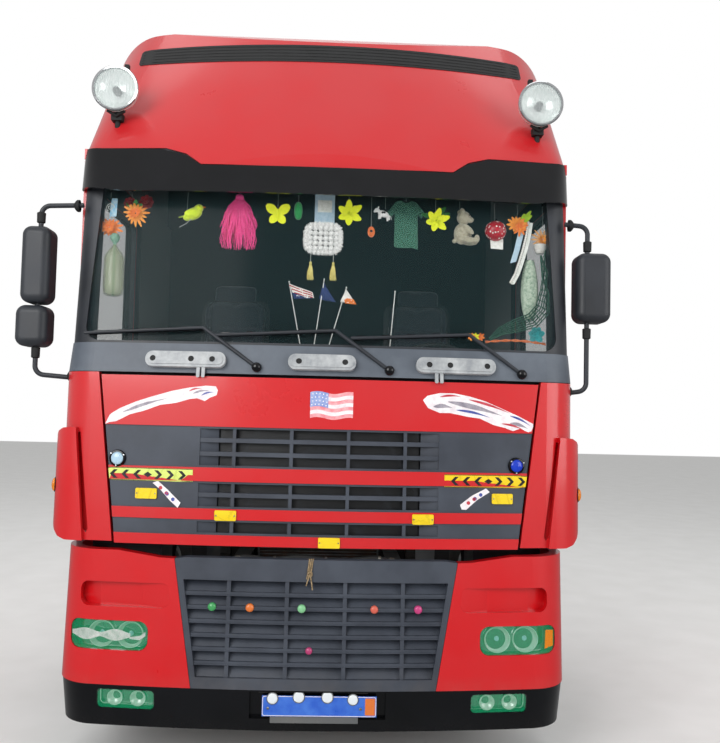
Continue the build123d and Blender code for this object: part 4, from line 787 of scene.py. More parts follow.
class TRUCK_OT_small_lamps(bpy.types.Operator):
    """Fit the marker lamps on the flap, the coloured studs on the grille and the lamps over the plate"""
    bl_idname = "truck.small_lamps"
    bl_label = "Small lamps and studs"

    def execute(self, context):
        flap = surface_of("flap_panel", "flap_grille")
        for name, x, z, lens in (("right", -0.945, 1.460, "ice_lens"), ("left", 0.934, 1.463, "blue_lens")):
            point, normal = flap(x, z)
            mesh = bmesh.new()
            lathe(mesh, [(0.040, -0.004), (0.040, 0.006), (0.036, 0.012), (0.031, 0.013), (0.030, 0.008),
                         (0, 0.008)], point, normal, 32)
            piece("marker_bezel_" + name, mesh, "black", "front_flap")
            mesh = bmesh.new()
            dome(mesh, point + normal * 0.009, normal, 0.030, 0.011)
            piece("marker_lens_" + name, mesh, lens, "front_flap")
            mesh = bmesh.new()
            for angle in (25, 145, 265):
                turn = math.radians(angle)
                spot = facing(point, normal) @ Vector((0.035 * math.cos(turn), 0.035 * math.sin(turn), 0.012))
                lathe(mesh, [(0.0045, 0), (0.004, 0.003), (0, 0.004)], spot, normal, 10)
            piece("marker_screws_" + name, mesh, "chrome", "front_flap")
        grille = surface_of("bumper_grille")
        # colour name, hex, across, up and radius of each stud
        studs = (("green", "#3F9A57", -0.474, 0.797, 0.019), ("orange", "#D9722E", -0.301, 0.797, 0.019),
                 ("pale_green", "#7FC08B", -0.064, 0.797, 0.019), ("coral", "#D1604E", 0.269, 0.797, 0.018),
                 ("magenta", "#C03A78", 0.472, 0.797, 0.019),
                 ("magenta_low", "#B0386C", -0.026, 0.609, 0.016))
        for name, code, x, z, radius in studs:
            # Cast acrylic: even colour, waxy shine.
            stuff[name] = finish("cast_acrylic_" + name, code, code, 20, 0.3, 0.05, 4, 0.02,
                                 **{"Coat Weight": 0.4})
            point, normal = grille(x, z)
            mesh = bmesh.new()
            lathe(mesh, [(radius, -0.004), (radius, 0.004), (radius * 0.9, 0.008), (radius * 0.5, 0.012),
                         (0, 0.013)], point, normal, 24)
            piece("grille_stud_" + name, mesh, name, "chassis")
        bar = bmesh.new()
        bar_y, bar_z = FACE + 0.030, 0.418
        line = []
        # a flat bow that steps up by 12 mm between the inner lamps
        for x in (-0.25, -0.18, -0.10, 0, 0.10, 0.18, 0.25):
            line.append((x, bar_y + 0.004 * (x / 0.25) ** 2, bar_z + (0.0 if abs(x) > 0.12 else 0.012)))
        tube(bar, line, 0.006)
        shells, glasses = bmesh.new(), bmesh.new()
        for x, z, radius in ((-0.185, 0.396, 0.027), (-0.066, 0.404, 0.028), (0.064, 0.404, 0.028),
                             (0.180, 0.394, 0.026)):
            point = Vector((x, FACE + 0.006, z))
            lathe(shells, [(radius * 0.4, -0.022), (radius * 0.9, -0.014), (radius, -0.006), (radius, 0),
                           (radius * 0.86, 0.001), (radius * 0.5, -0.008), (0, -0.012)], point, OUTWARD, 28)
            dome(glasses, point, OUTWARD, radius * 0.86, 0.004)
            tube(bar, [point - OUTWARD * 0.018, (x, bar_y, bar_z)], 0.005)
        piece("plate_lamp_bar", bar, "chassis", "chassis")
        piece("plate_lamp_shells", shells, "chrome", "chassis")
        piece("plate_lamp_lenses", glasses, "white_lens", "chassis")
        # screws, a pale rim and a coloured end on the blank plate, and the bare strip that holds it
        face = FACE + 0.0098
        rim, end, strip, screws = bmesh.new(), bmesh.new(), bmesh.new(), bmesh.new()
        ring = [(x, face, z) for x, z in rounded(-0.229, 0.285, 0.319, 0.405, 0.008)]
        tube(rim, ring, 0.0016, 6, closed=True)
        slab(end, rounded(0.236, 0.281, 0.324, 0.400, 0.004), face - 0.0006, face + 0.001)
        slab(strip, rounded(-0.195, 0.205, 0.284, 0.313, 0.004), FACE + 0.016, FACE + 0.019)
        for x in (-0.205, 0.215):
            lathe(screws, [(0.0065, 0), (0.006, 0.002), (0.0035, 0.0032), (0, 0.0034)], (x, face, 0.352),
                  OUTWARD, 14)
        piece("plate_rim", rim, "vinyl_white", "chassis")
        piece("plate_end", end, "orange", "chassis")
        piece("plate_strip", strip, "aluminium", "chassis")
        piece("plate_screws", screws, "zinc", "chassis")
        return {"FINISHED"}


class TRUCK_OT_head_lamps(bpy.types.Operator):
    """Build the headlamps and fog lamps behind their green film, and the round lamps on the roof"""
    bl_idname = "truck.head_lamps"
    bl_label = "Headlamps, fog lamps and roof lamps"

    def execute(self, context):
        corner = surface_of("front_lamps")
        # Green film on moulded polycarbonate: glossy and see-through, darker where it overlaps itself.
        stuff["green_film"] = clear("green_film_on_polycarbonate", "#10AC72", 0.40, 0.07, 18, IOR=1.58)
        cad["front_lamps"].data.materials[0] = stuff["green_film"]
        # Vacuum-coated reflector: silver white, drawn as a near-white, only partly metallic colour, a painted
        # reflection that keeps it bright even in shade.
        stuff["reflector"] = finish("reflector_painted_bright", "#F2F6F4", "#D9E2DE", 30, 0.18, 0.06, 8, 0.05,
                                    Metallic=0.25)
        for name, side in SIDES:
            shells, bowls, bulbs = bmesh.new(), bmesh.new(), bmesh.new()
            radius = 0.058
            for x in (0.850, 0.985):
                point = corner(side * x, HEADLAMP_Z)[0] + Vector((0, 0.046, 0))
                lathe(bowls, [(radius, 0.030), (radius * 0.92, 0.018), (radius * 0.7, 0.002),
                              (radius * 0.35, -0.008), (0.012, -0.010), (0.012, -0.016),
                              (radius * 0.4, -0.016), (radius * 0.8, -0.004), (radius * 1.02, 0.016),
                              (radius * 1.06, 0.030), (radius, 0.030)], point, OUTWARD, 36)
                lathe(bulbs, [(0.012, -0.012), (0.013, 0.006), (0.011, 0.014), (0, 0.017)], point, OUTWARD,
                      16)
            wrap(shells, rounded(side * 0.950 - 0.175, side * 0.950 + 0.175, 0.596, 0.713, 0.04), corner,
                 -0.036, 0.03, 0.042)
            wrap(shells, rounded(side * 0.858 - 0.125, side * 0.858 + 0.125, 0.331, 0.406, 0.016), corner,
                 -0.030, 0.03, 0.036)
            for x in (0.805, 0.912):
                point = corner(side * x, 0.368)[0] + Vector((0, 0.032, 0))
                lathe(bowls, [(0.034, 0.016), (0.024, 0.004), (0.008, 0.0), (0.008, -0.004), (0.026, -0.002),
                              (0.036, 0.016), (0.034, 0.016)], point, OUTWARD, 28)
            piece("lamp_backs_" + name, shells, "chrome", "chassis")
            piece("lamp_bowls_" + name, bowls, "reflector", "chassis")
            piece("lamp_bulbs_" + name, bulbs, "ice_lens", "chassis")
        # scalloped silver film on the right-hand headlamp, an amber end on the left one
        mesh = bmesh.new()
        for first, last in ((-1.128, -0.985), (-0.985, -0.845)):
            lobe = []
            for step in range(17):
                share = step / 16
                swell = 0.026 * (0.35 + 0.65 * math.sin(math.pi * share) ** 1.5)
                lobe.append((first + (last - first) * share, swell))
            top = [(x, HEADLAMP_Z + swell) for x, swell in lobe]
            foot = [(x, HEADLAMP_Z - swell) for x, swell in reversed(lobe)]
            wrap(mesh, top + foot, corner, 0.0012, 0.02)
        wrap(mesh, [(-0.848, 0.648), (-0.80, 0.655), (-0.775, 0.675), (-0.775, 0.655), (-0.80, 0.636),
                    (-0.848, 0.640)], corner, 0.0012)
        piece("headlamp_scallops", mesh, "silver_film", "chassis")
        mesh = bmesh.new()
        wrap(mesh, [(1.078, 0.612), (1.124, 0.620), (1.124, 0.692), (1.082, 0.698)], corner, 0.0012)
        piece("headlamp_end", mesh, "amber", "chassis")
        for name, side in SIDES:
            x, y, z = side * 1.090, FACE + 0.330, 3.315
            point = Vector((x, y, z))
            shell, glass, rim = bmesh.new(), bmesh.new(), bmesh.new()
            lathe(shell, [(0.112, -0.004), (0.112, -0.030), (0.100, -0.060), (0.070, -0.092), (0.040, -0.108),
                          (0, -0.110)], point, OUTWARD, 56)
            lathe(shell, [(0.104, -0.004), (0.088, -0.030), (0.055, -0.052), (0.020, -0.060), (0, -0.060)],
                  point, OUTWARD, 56)
            lathe(rim, [(0.104, -0.006), (0.112, -0.008), (0.117, -0.002), (0.117, 0.006), (0.112, 0.010),
                        (0.105, 0.009), (0.103, 0.002), (0.104, -0.006)], point, OUTWARD, 64)
            dome(glass, point + Vector((0, -0.001, 0)), OUTWARD, 0.104, 0.016)
            piece("roof_lamp_bowl_" + name, shell, "reflector", "cab")
            piece("roof_lamp_rim_" + name, rim, "chrome", "cab")
            piece("roof_lamp_glass_" + name, glass, "lens", "cab")
            mesh = bmesh.new()
            lathe(mesh, [(0.020, -0.06), (0.020, -0.02), (0.012, -0.010), (0, -0.008)], point, OUTWARD, 20)
            box(mesh, (x - 0.028, y + 0.040, z - 0.150), (x + 0.028, y + 0.095, z - 0.108))
            tube(mesh, [(x, y + 0.066, z - 0.100), (x, y + 0.070, z - 0.175), (x, y + 0.085, z - 0.205)],
                 0.014)
            tube(mesh, [(x - 0.045, y + 0.030, z - 0.104), (x, y + 0.035, z - 0.130),
                        (x + 0.045, y + 0.030, z - 0.104)], 0.009)
            clip = x - side * 0.055
            box(mesh, (clip - 0.012, y - 0.004, z + 0.095), (clip + 0.012, y + 0.022, z + 0.125))
            stand = piece("roof_lamp_stand_" + name, mesh, "rubber", "cab", bevel=0.003)
            if side > 0:
                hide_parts("roof_lamps")
        return {"FINISHED"}


class TRUCK_OT_grille_backing(bpy.types.Operator):
    """Fit the insect screen, the ribs behind the slats, and the hoses and twine in the gap over the bumper"""
    bl_idname = "truck.grille_backing"
    bl_label = "Screens, hoses and twine"

    def execute(self, context):
        # Woven wire dipped in black enamel: small square meshes, drawn at 8 mm to show.
        stuff["wire"] = film("woven_wire_black", "#08090B", "#2B2F35", 8)
        # Laid sisal twine: straw-coloured, hairy and dull.
        stuff["twine"] = finish("laid_sisal_twine", "#A48E6C", "#6E5C43", 12, 0.85, 0.08, 2, 0.6)
        # the bumper's lean, as heights and depths behind the face, and its bow
        front, bow = ((0.433, 0.0), (1.04, 0.016)), 0.090
        bumper = bent(front, bow, 0.058)
        mesh = bmesh.new()
        wrap(mesh, [(-0.552, 0.481), (0.552, 0.481), (0.618, 0.922), (-0.618, 0.922)], bumper, 0.0, 0.06,
             0.003)
        piece("bumper_insect_screen", mesh, "wire", "chassis")
        flap = bent(((1.071, 0.030), (1.852, 0.052)), 0.095, 0.048)
        mesh = bmesh.new()
        for low, high in ((1.124, 1.184), (1.244, 1.359), (1.433, 1.613)):
            wrap(mesh, oblong(-0.470, 0.470, low, high), flap, 0.0, 0.08, 0.003)
        piece("flap_insect_screen", mesh, "wire", "front_flap")

        def half_width(z):
            """Half the width of the bumper's grille at a height."""
            return 0.548 + 0.070 * (z - 0.483) / 0.435

        # sloping louvre blades between the slats, deepest under the slat above
        blades = bmesh.new()
        for index in range(7):
            low = 0.4835 + SLAT_PITCH * index

            def blade(x, z, low=low):
                """A finder for one sloping blade."""
                point, normal = bumper(x, z)
                return point + Vector((0, -0.042 + 0.046 * (z - low) / SLAT_PITCH, 0)), normal
            high = low + 0.050
            foot, head = half_width(low), half_width(high)
            wrap(blades, [(-foot, low), (foot, low), (head, high), (-head, high)], blade, 0.0, 0.1, 0.002)
        piece("bumper_louvres", blades, "slate", "chassis")
        # raised lips along the slats' front edges
        mesh = bmesh.new()
        lip = bent(front, bow, 0.008)
        for index in range(1, 7):
            z = 0.483 + SLAT_PITCH * index
            half = half_width(z)
            points = [lip(-half + 2 * half * step / 24, z - 0.006)[0] + Vector((0, -0.001, 0))
                      for step in range(25)]
            tube(mesh, points, 0.0032, 6)
        piece("bumper_slat_lips", mesh, "slate", "chassis")
        # two hoses that sag along the gap, with their clips and end fittings
        hoses, clips = bmesh.new(), bmesh.new()
        upper = ((-0.40, 0.990), (-0.34, 1.014), (-0.22, 1.006), (-0.08, 1.018), (0.10, 1.004), (0.27, 1.018),
                 (0.39, 0.994))
        lower = ((-0.38, 0.976), (-0.26, 0.990), (-0.12, 0.998), (0.05, 0.988), (0.20, 1.000), (0.36, 0.980))
        for number, row in enumerate((upper, lower)):
            depth = 0.084 + 0.024 * number
            points = []
            for (x0, z0), (x1, z1) in zip(row, row[1:]):
                for step in range(6):
                    share = step / 6
                    smooth = share * share * (3 - 2 * share)
                    x = x0 + (x1 - x0) * share
                    points.append((x, FACE + depth + 0.095 * (x / HALF_BODY) ** 2, z0 + (z1 - z0) * smooth))
            tube(hoses, points, 0.012 - 0.003 * number, 12)
            for index in range(4, len(points) - 2, 9):
                along = Vector(points[index + 1]) - Vector(points[index])
                size = 0.0125 - 0.003 * number
                lathe(clips, [(size, -0.006), (size + 0.002, -0.006), (size + 0.002, 0.006), (size, 0.006)],
                      points[index], along, 16)
        for x in (-0.37, 0.35):
            lathe(clips, [(0.020, -0.014), (0.024, -0.008), (0.024, 0.010), (0.018, 0.015), (0, 0.016)],
                  (x, FACE + 0.112, 0.994), (0.2, -1, 0.3), 24)
        piece("gap_hoses", hoses, "rubber", "chassis")
        piece("gap_hose_clips", clips, "zinc", "chassis")
        # twine: three turns round the grille's top bar, a knot of three loops and two tails
        top = surface_of("bumper_grille")
        mesh = bmesh.new()
        for x, tilt in ((-0.040, 0.25), (-0.031, -0.1), (-0.022, -0.3)):
            point = top(x, 0.972)[0]
            points = []
            for step in range(22):
                angle = 2 * math.pi * step / 22
                points.append((x + 0.006 * math.sin(angle + tilt), point.y + 0.010 - 0.016 * math.cos(angle),
                               0.972 + 0.049 * math.sin(angle)))
            tube(mesh, points, 0.0032, 8, closed=True)
        knot = top(-0.030, 0.955)[0] + Vector((0, -0.006, 0))
        for number in range(3):
            points = []
            for step in range(18):
                angle = 2 * math.pi * step / 18
                spread = Vector((math.cos(angle), 0.6 * math.sin(2 * angle + number),
                                 math.sin(angle))) * 0.0095
                points.append(knot + Matrix.Rotation(1.05 * number, 3, "Y") @ spread)
            tube(mesh, points, 0.0032, 8, closed=True)
        for sway, drop in ((-0.012, 0.052), (0.010, 0.070)):
            tube(mesh, [knot, knot + Vector((sway * 0.5, -0.006, -0.018)),
                        knot + Vector((sway, -0.006, -drop * 0.7)),
                        knot + Vector((sway * 1.3, -0.003, -drop))], 0.003, 8)
        piece("twine_knot", mesh, "twine", "chassis")
        return {"FINISHED"}


# Outside of the cab
class TRUCK_OT_cab_outside(bpy.types.Operator):
    """Fit the roof strip, grab rails, wiper blades, mirror glass, seals, locks and side markers"""
    bl_idname = "truck.cab_outside"
    bl_label = "Cab trim"

    def execute(self, context):
        roof = surface_of("cab_roof")

        def slope(x, z):
            """The roof's front between two heights, bridging the groove."""
            low, high = roof(x, 3.572)[0], roof(x, 3.698)[0]
            share = (z - 3.572) / 0.126
            return low + (high - low) * share, roof(x, 3.572)[1]
        mesh = bmesh.new()
        wrap(mesh, rounded(-1.062, 1.062, 3.576, 3.694, 0.020), slope, 0.003, 0.05, 0.006)
        for row in range(5):
            z = 3.590 + 0.022 * row
            wrap(mesh, oblong(-1.045, 1.045, z, z + 0.010), slope, 0.0045, 0.08)
        piece("roof_strip", mesh, "rubber", "cab")
        # grab rails over the scuttle, each with its screw wells
        bar = bent(((1.867, 0.036), (2.007, 0.072)), 0.095, 0.0)
        rails, wells, bands = bmesh.new(), bmesh.new(), bmesh.new()
        for x0, x1, holes in ((-0.831, -0.452, (-0.794, -0.613, -0.514)), (-0.159, 0.159, (-0.108, 0.108)),
                              (0.444, 0.827, (0.506, 0.605, 0.784))):
            wrap(rails, rounded(x0, x1, 1.893, 1.966, 0.034, 6), bar, 0.009, 0.03, 0.014)
            wrap(rails, rounded(x0 + 0.012, x1 - 0.012, 1.905, 1.954, 0.022, 6), bar, 0.013, 0.03, 0.0)
            for x in holes:
                point, normal = bar(x, 1.930)
                lathe(wells, [(0, 0.0136), (0.0105, 0.0136), (0.0112, 0.0150), (0.0130, 0.0150),
                              (0.0138, 0.0130)], point, normal, 20)
        for x in (-0.566, 0.553):
            for offset in (-0.012, 0.012):
                wrap(bands, rounded(x + offset - 0.008, x + offset + 0.008, 1.846, 1.899, 0.004), bar, 0.004,
                     0.03, 0.004)
        piece("grab_rails", rails, "rail", "cab", bevel=0.004)
        piece("grab_rail_wells", wells, "rubber", "cab")
        piece("grab_rail_straps", bands, "rail", "cab", bevel=0.002)
        # wiper blades: squeegee, spine and yokes
        glass = surface_of("windscreen")
        rubber, spine = bmesh.new(), bmesh.new()
        for (x0, z0), (x1, z1) in (((-1.115, 2.052), (-0.560, 2.082)), ((-0.500, 2.052), (0.060, 2.084)),
                                   ((0.140, 2.052), (0.700, 2.084))):
            count = 14
            line = [(x0 + (x1 - x0) * step / count, z0 + (z1 - z0) * step / count)
                    for step in range(count + 1)]
            wrap(rubber, between(line, (0, -0.009), (0, -0.004)), glass, 0.020, 0.1, -0.001)
            wrap(spine, between(line, (0, -0.014), (0, 0.003)), glass, 0.025, 0.1, -0.019)
            for step in range(1, count, 3):
                x, z = line[step]
                yoke = [(x - 0.030, z - 0.006), (x + 0.030, z - 0.006), (x + 0.018, z + 0.006),
                        (x - 0.018, z + 0.006)]
                wrap(spine, yoke, glass, 0.031, 0.1, -0.020)
        piece("wiper_rubbers", rubber, "rubber", "cab")
        piece("wiper_spines", spine, "black", "cab", bevel=0.001)
        caps = bmesh.new()
        for x in (-0.307, 0.318, 0.959):
            y = FACE + 0.046 + 0.095 * (x / 1.236) ** 2
            lathe(caps, [(0, 0.012), (0.010, 0.011), (0.019, 0.006), (0.023, -0.002), (0.024, -0.02)],
                  (x, y, 1.900), OUTWARD, 24)
        piece("wiper_pivots", caps, "black", "cab")
        # mirror glass, rims and joints, seen from the driver's seat
        glasses, rims, joints = bmesh.new(), bmesh.new(), bmesh.new()
        back = FACE + 0.320
        for x0, x1, z0, z1 in ((1.256, 1.430, 2.174, 2.524), (-1.484, -1.342, 2.196, 2.576),
                               (-1.500, -1.342, 1.984, 2.186)):
            pane = rounded(x0 + 0.012, x1 - 0.012, z0 + 0.012, z1 - 0.012, 0.036, 6)
            edge = rounded(x0 + 0.008, x1 - 0.008, z0 + 0.008, z1 - 0.008, 0.040, 6)
            slab(glasses, pane, back - 0.002, back + 0.002)
            tube(rims, [(x, back + 0.002, z) for x, z in edge], 0.005, 8, closed=True)
        for x, heights in ((1.318, (2.120, 2.560)), (-1.406, (1.955, 2.622))):
            for z in heights:
                lathe(joints, [(0.012, -0.028), (0.020, -0.024), (0.021, 0.024), (0.012, 0.028)],
                      (x, FACE + 0.262, z), UP, 20)
        for side, heights in ((1, (1.828, 2.668)), (-1, (1.844, 2.690))):
            for z in heights:
                lathe(joints, [(0.030, -0.008), (0.030, 0.004), (0.022, 0.012), (0.013, 0.018)],
                      (side * 1.232, FACE + 0.274, z), (side, -0.05, 0), 20)
        piece("mirror_glass", glasses, "mirror", "cab")
        piece("mirror_rims", rims, "rubber", "cab")
        piece("mirror_joints", joints, "rubber", "cab", bevel=0.002)
        # round the doors: window seals, door seals, locks and keyholes
        for name, side in SIDES:
            body = "door_" + name
            seal, lock = bmesh.new(), bmesh.new()
            y0, y1 = DOOR_FRONT + 0.095, DOOR_BACK - 0.095
            corners = [(y0, 1.960), (y1, 1.960), (y1, 2.800), (y0 + 0.060, 2.800)]
            points = []
            for index, (y, z) in enumerate(corners):
                before, after = corners[index - 1], corners[(index + 1) % 4]
                for step in range(7):
                    share = step / 6
                    first = Vector((before[0] - y, before[1] - z)).normalized() * 0.040
                    last = Vector((after[0] - y, after[1] - z)).normalized() * 0.040
                    spot = Vector((y, z)) + first * (1 - share) ** 2 + last * share ** 2
                    points.append((side * 1.229, spot.x, spot.y))
            tube(seal, points, 0.0085, 8, closed=True)
            for offset in (0.0, 0.008):
                tube(seal, [(side * (1.212 - offset), y, z) for _, y, z in points], 0.005, 6, closed=True)
            piece("window_seal_" + name, seal, "rubber", body)
            spot = Vector((side * 1.228, DOOR_BACK - 0.255, 1.800))
            lathe(lock, [(0.016, 0), (0.016, 0.005), (0.013, 0.007), (0.012, 0.005), (0, 0.005)], spot,
                  (side, 0, 0), 24)
            box(lock, spot + Vector((side * 0.004, -0.001, -0.007)),
                spot + Vector((side * 0.0056, 0.001, 0.007)))
            piece("door_lock_" + name, lock, "zinc", body)
            grip = bmesh.new()
            line = ((DOOR_BACK - 0.212, 1.792), (DOOR_BACK - 0.145, 1.789), (DOOR_BACK - 0.078, 1.792))
            tube(grip, [(side * 1.229, y, z) for y, z in line], 0.007, 10)
            piece("door_grip_lip_" + name, grip, "trim", body)
        # orange side markers on the vanes
        vane = side_of("corner_panels")
        bases, lenses = bmesh.new(), bmesh.new()
        for side in (-1, 1):
            point, normal = vane(side, FACE + 0.200, 1.322)
            place = facing(point, normal)
            rise = place.to_3x3().inverted() @ Vector(UP)
            spin = Matrix.Rotation(math.atan2(rise.y, rise.x) - math.pi / 2, 4, "Z")
            for mesh, radii, out in ((bases, (0.023, 0.037, 0.006), 0.0),
                                     (lenses, (0.019, 0.032, 0.014), 0.002)):
                matrix = place @ Matrix.Translation((0, 0, out)) @ spin @ Matrix.Diagonal((*radii, 1))
                bmesh.ops.create_uvsphere(mesh, u_segments=28, v_segments=14, radius=1, matrix=matrix)
        piece("side_marker_bases", bases, "rubber", "cab")
        piece("side_marker_lenses", lenses, "amber", "cab")
        return {"FINISHED"}


# Inside of the cab
def lining(name, node, body, material, test, gap=0.004, wall=0.003):
    """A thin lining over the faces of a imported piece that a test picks, standing a little way off them."""
    data = cad[node].data
    kept = [poly for poly in data.polygons if test(poly.center, poly.normal)]
    mesh = bmesh.new()
    made = {}
    for poly in kept:
        corners = []
        for index in poly.vertices:
            if index not in made:
                made[index] = mesh.verts.new(data.vertices[index].co)
            corners.append(made[index])
        mesh.faces.new(corners)
    mesh.normal_update()
    for vert in mesh.verts:
        vert.co += vert.normal * gap
    bmesh.ops.solidify(mesh, geom=mesh.faces[:], thickness=-wall)
    return piece(name, mesh, material, body, 50)


class TRUCK_OT_linings(bpy.types.Operator):
    """Line the roof, sides, back, doors and floor"""
    bl_idname = "truck.linings"
    bl_label = "Cab linings"

    def execute(self, context):
        # Knitted polyester over foam board: dark grey headlining with a fine nap; its dark grey is partly the
        # cloth's own colour and partly painted shade for the dim inside of the cab.
        stuff["headlining"] = cloth("knitted_polyester_grey_painted_shade", "#3C3F44", "#24272B", 4, 0.05)
        # Moulded floor mat: black rubber with a coin pattern.
        stuff["mat"] = finish("moulded_rubber_mat", "#1B1B1C", "#2D2B28", 90, 0.8, 0.08, 12, 0.8, cells=True)
        inside = Vector((0, FACE + 1.2, 2.4))

        def inward(centre, normal):
            """Whether a face looks into the cab."""
            return normal.dot(inside - centre) > 0.25 * (inside - centre).length

        # roof, side and back linings in the dark grey cloth, which is partly painted shade
        lining("headlining", "cab_roof", "cab", "headlining",
               lambda c, n: inward(c, n) and c.y > FACE + 0.30 and abs(c.x) < 1.21)
        lining("side_linings", "cab_sides", "cab", "headlining",
               lambda c, n: n.x * c.x < 0 and abs(n.x) > 0.9)
        lining("back_lining", "cab_back", "cab", "headlining", lambda c, n: n.y < -0.9)
        lining("floor_mat", "cab_floor", "cab", "mat",
               lambda c, n: n.z > 0.9 and c.z > 1.43 and abs(c.x) < 1.17)
        for name, side in SIDES:
            lining("door_card_" + name, "door_" + name, "door_" + name, "inside",
                   lambda c, n, side=side: n.x * side < -0.9)
            lining("window_reveal_" + name, "door_" + name, "door_" + name, "inside",
                   lambda c, n: abs(n.x) < 0.5 and FACE + 0.40 < c.y < FACE + 1.24 and 1.94 < c.z < 2.83,
                   0.0015, 0.001)
            mesh = bmesh.new()
            x = side * 1.166
            y0, y1 = FACE + 0.44, FACE + 1.18
            points = [(x, y0, 1.700), (x - side * 0.055, y0 + 0.06, 1.712),
                      (x - side * 0.062, (y0 + y1) / 2, 1.730), (x - side * 0.055, y1 - 0.08, 1.716),
                      (x, y1, 1.700)]
            tube(mesh, points, 0.026, 14, taper=[0.016, 0.026, 0.030, 0.026, 0.016])
            pocket = [(y0 + 0.02, 1.36), (y1 - 0.04, 1.36), (y1 - 0.04, 1.50), (y0 + 0.02, 1.47)]
            skin(mesh, [[mesh.verts.new((x - side * 0.050, y, z)) for y, z in pocket],
                        [mesh.verts.new((x, y, z - 0.02)) for y, z in pocket]])
            piece("door_rest_" + name, mesh, "inside", "door_" + name, bevel=0.006)
        return {"FINISHED"}


# Decorations
def leaf(mesh, base, along, face, length, width, curl=0.2, cup=0.2, thick=0.0012, steps=6, blunt=0.0):
    """A thin petal, leaf, wing or strand from its base, which curls towards the way it faces."""
    along = Vector(along).normalized()
    face = Vector(face)
    face = (face - along * face.dot(along)).normalized()
    across = along.cross(face)
    rings = []
    for step in range(steps + 1):
        share = step / steps
        half = width / 2 * max(math.sin(math.pi * (0.08 + 0.86 * share)) ** 0.7, blunt)
        reach = length * (share - 0.15 * abs(curl) * share ** 2)
        middle = Vector(base) + along * reach + face * length * curl * share ** 2
        rise = face * cup * half
        ring = (middle + across * half + rise, middle + face * thick, middle - across * half + rise,
                middle - face * thick)
        rings.append([mesh.verts.new(point) for point in ring])
    skin(mesh, rings)


def flower(mesh, centre, count, length, width, turn, curl, lean, ragged=0.0):
    """A ring of petals about a middle; ragged petals differ in length."""
    place = facing(centre, OUTWARD)
    for index in range(count):
        angle = turn + 2 * math.pi * index / count
        size = length * (1 + ragged * math.sin(7.3 * index + 2.0))
        along = place.to_3x3() @ Vector((math.cos(angle), math.sin(angle), lean))
        base = place @ Vector((0.1 * length * math.cos(angle), 0.1 * length * math.sin(angle), 0))
        leaf(mesh, base, along, place.to_3x3() @ Vector((0, 0, 1)), size, width, curl)


def tuft(mesh, centre, radius, count, seed):
    """A fluffy ball of short spikes, spread evenly over a core."""
    ball(mesh, centre, (radius * 0.6,) * 3, 6, 8)
    for index in range(count):
        height = 1 - 2 * (index + 0.5) / count
        ring = math.sqrt(1 - height * height)
        angle = GOLDEN_ANGLE * index + seed
        way = Vector((ring * math.cos(angle), ring * math.sin(angle), height))
        leaf(mesh, Vector(centre) + way * radius * 0.4, way, way.orthogonal(),
             radius * (0.62 + 0.2 * math.sin(5.1 * index + seed)), radius * 0.34, 0.1, 0.3, radius * 0.06, 2)


def skirt(mesh, top, drop, spread, strands, ragged, width, bell):
    """A tassel's skirt: strands that leave a knot, swell into a bell and hang to a ragged edge."""
    top = Vector(top)
    for index in range(strands):
        angle = GOLDEN_ANGLE * index
        reach = spread * (0.35 + 0.65 * math.sqrt((index + 0.5) / strands))
        length = drop * (1 - ragged * (0.5 + 0.5 * math.sin(12.9 * index)))
        out = Vector((math.cos(angle), 0.45 * math.sin(angle), 0))
        points = []
        for step in range(7):
            share = step / 6
            swell = math.sin(math.pi / 2 * min(1, share / bell))
            sway = 1 + 0.12 * math.sin(3 * share * math.pi + index)
            points.append(top + out * reach * swell * sway - Vector((0, 0, length * share)))
        tube(mesh, points, width, 3, taper=[width * (1 - 0.7 * step / 6) for step in range(7)])


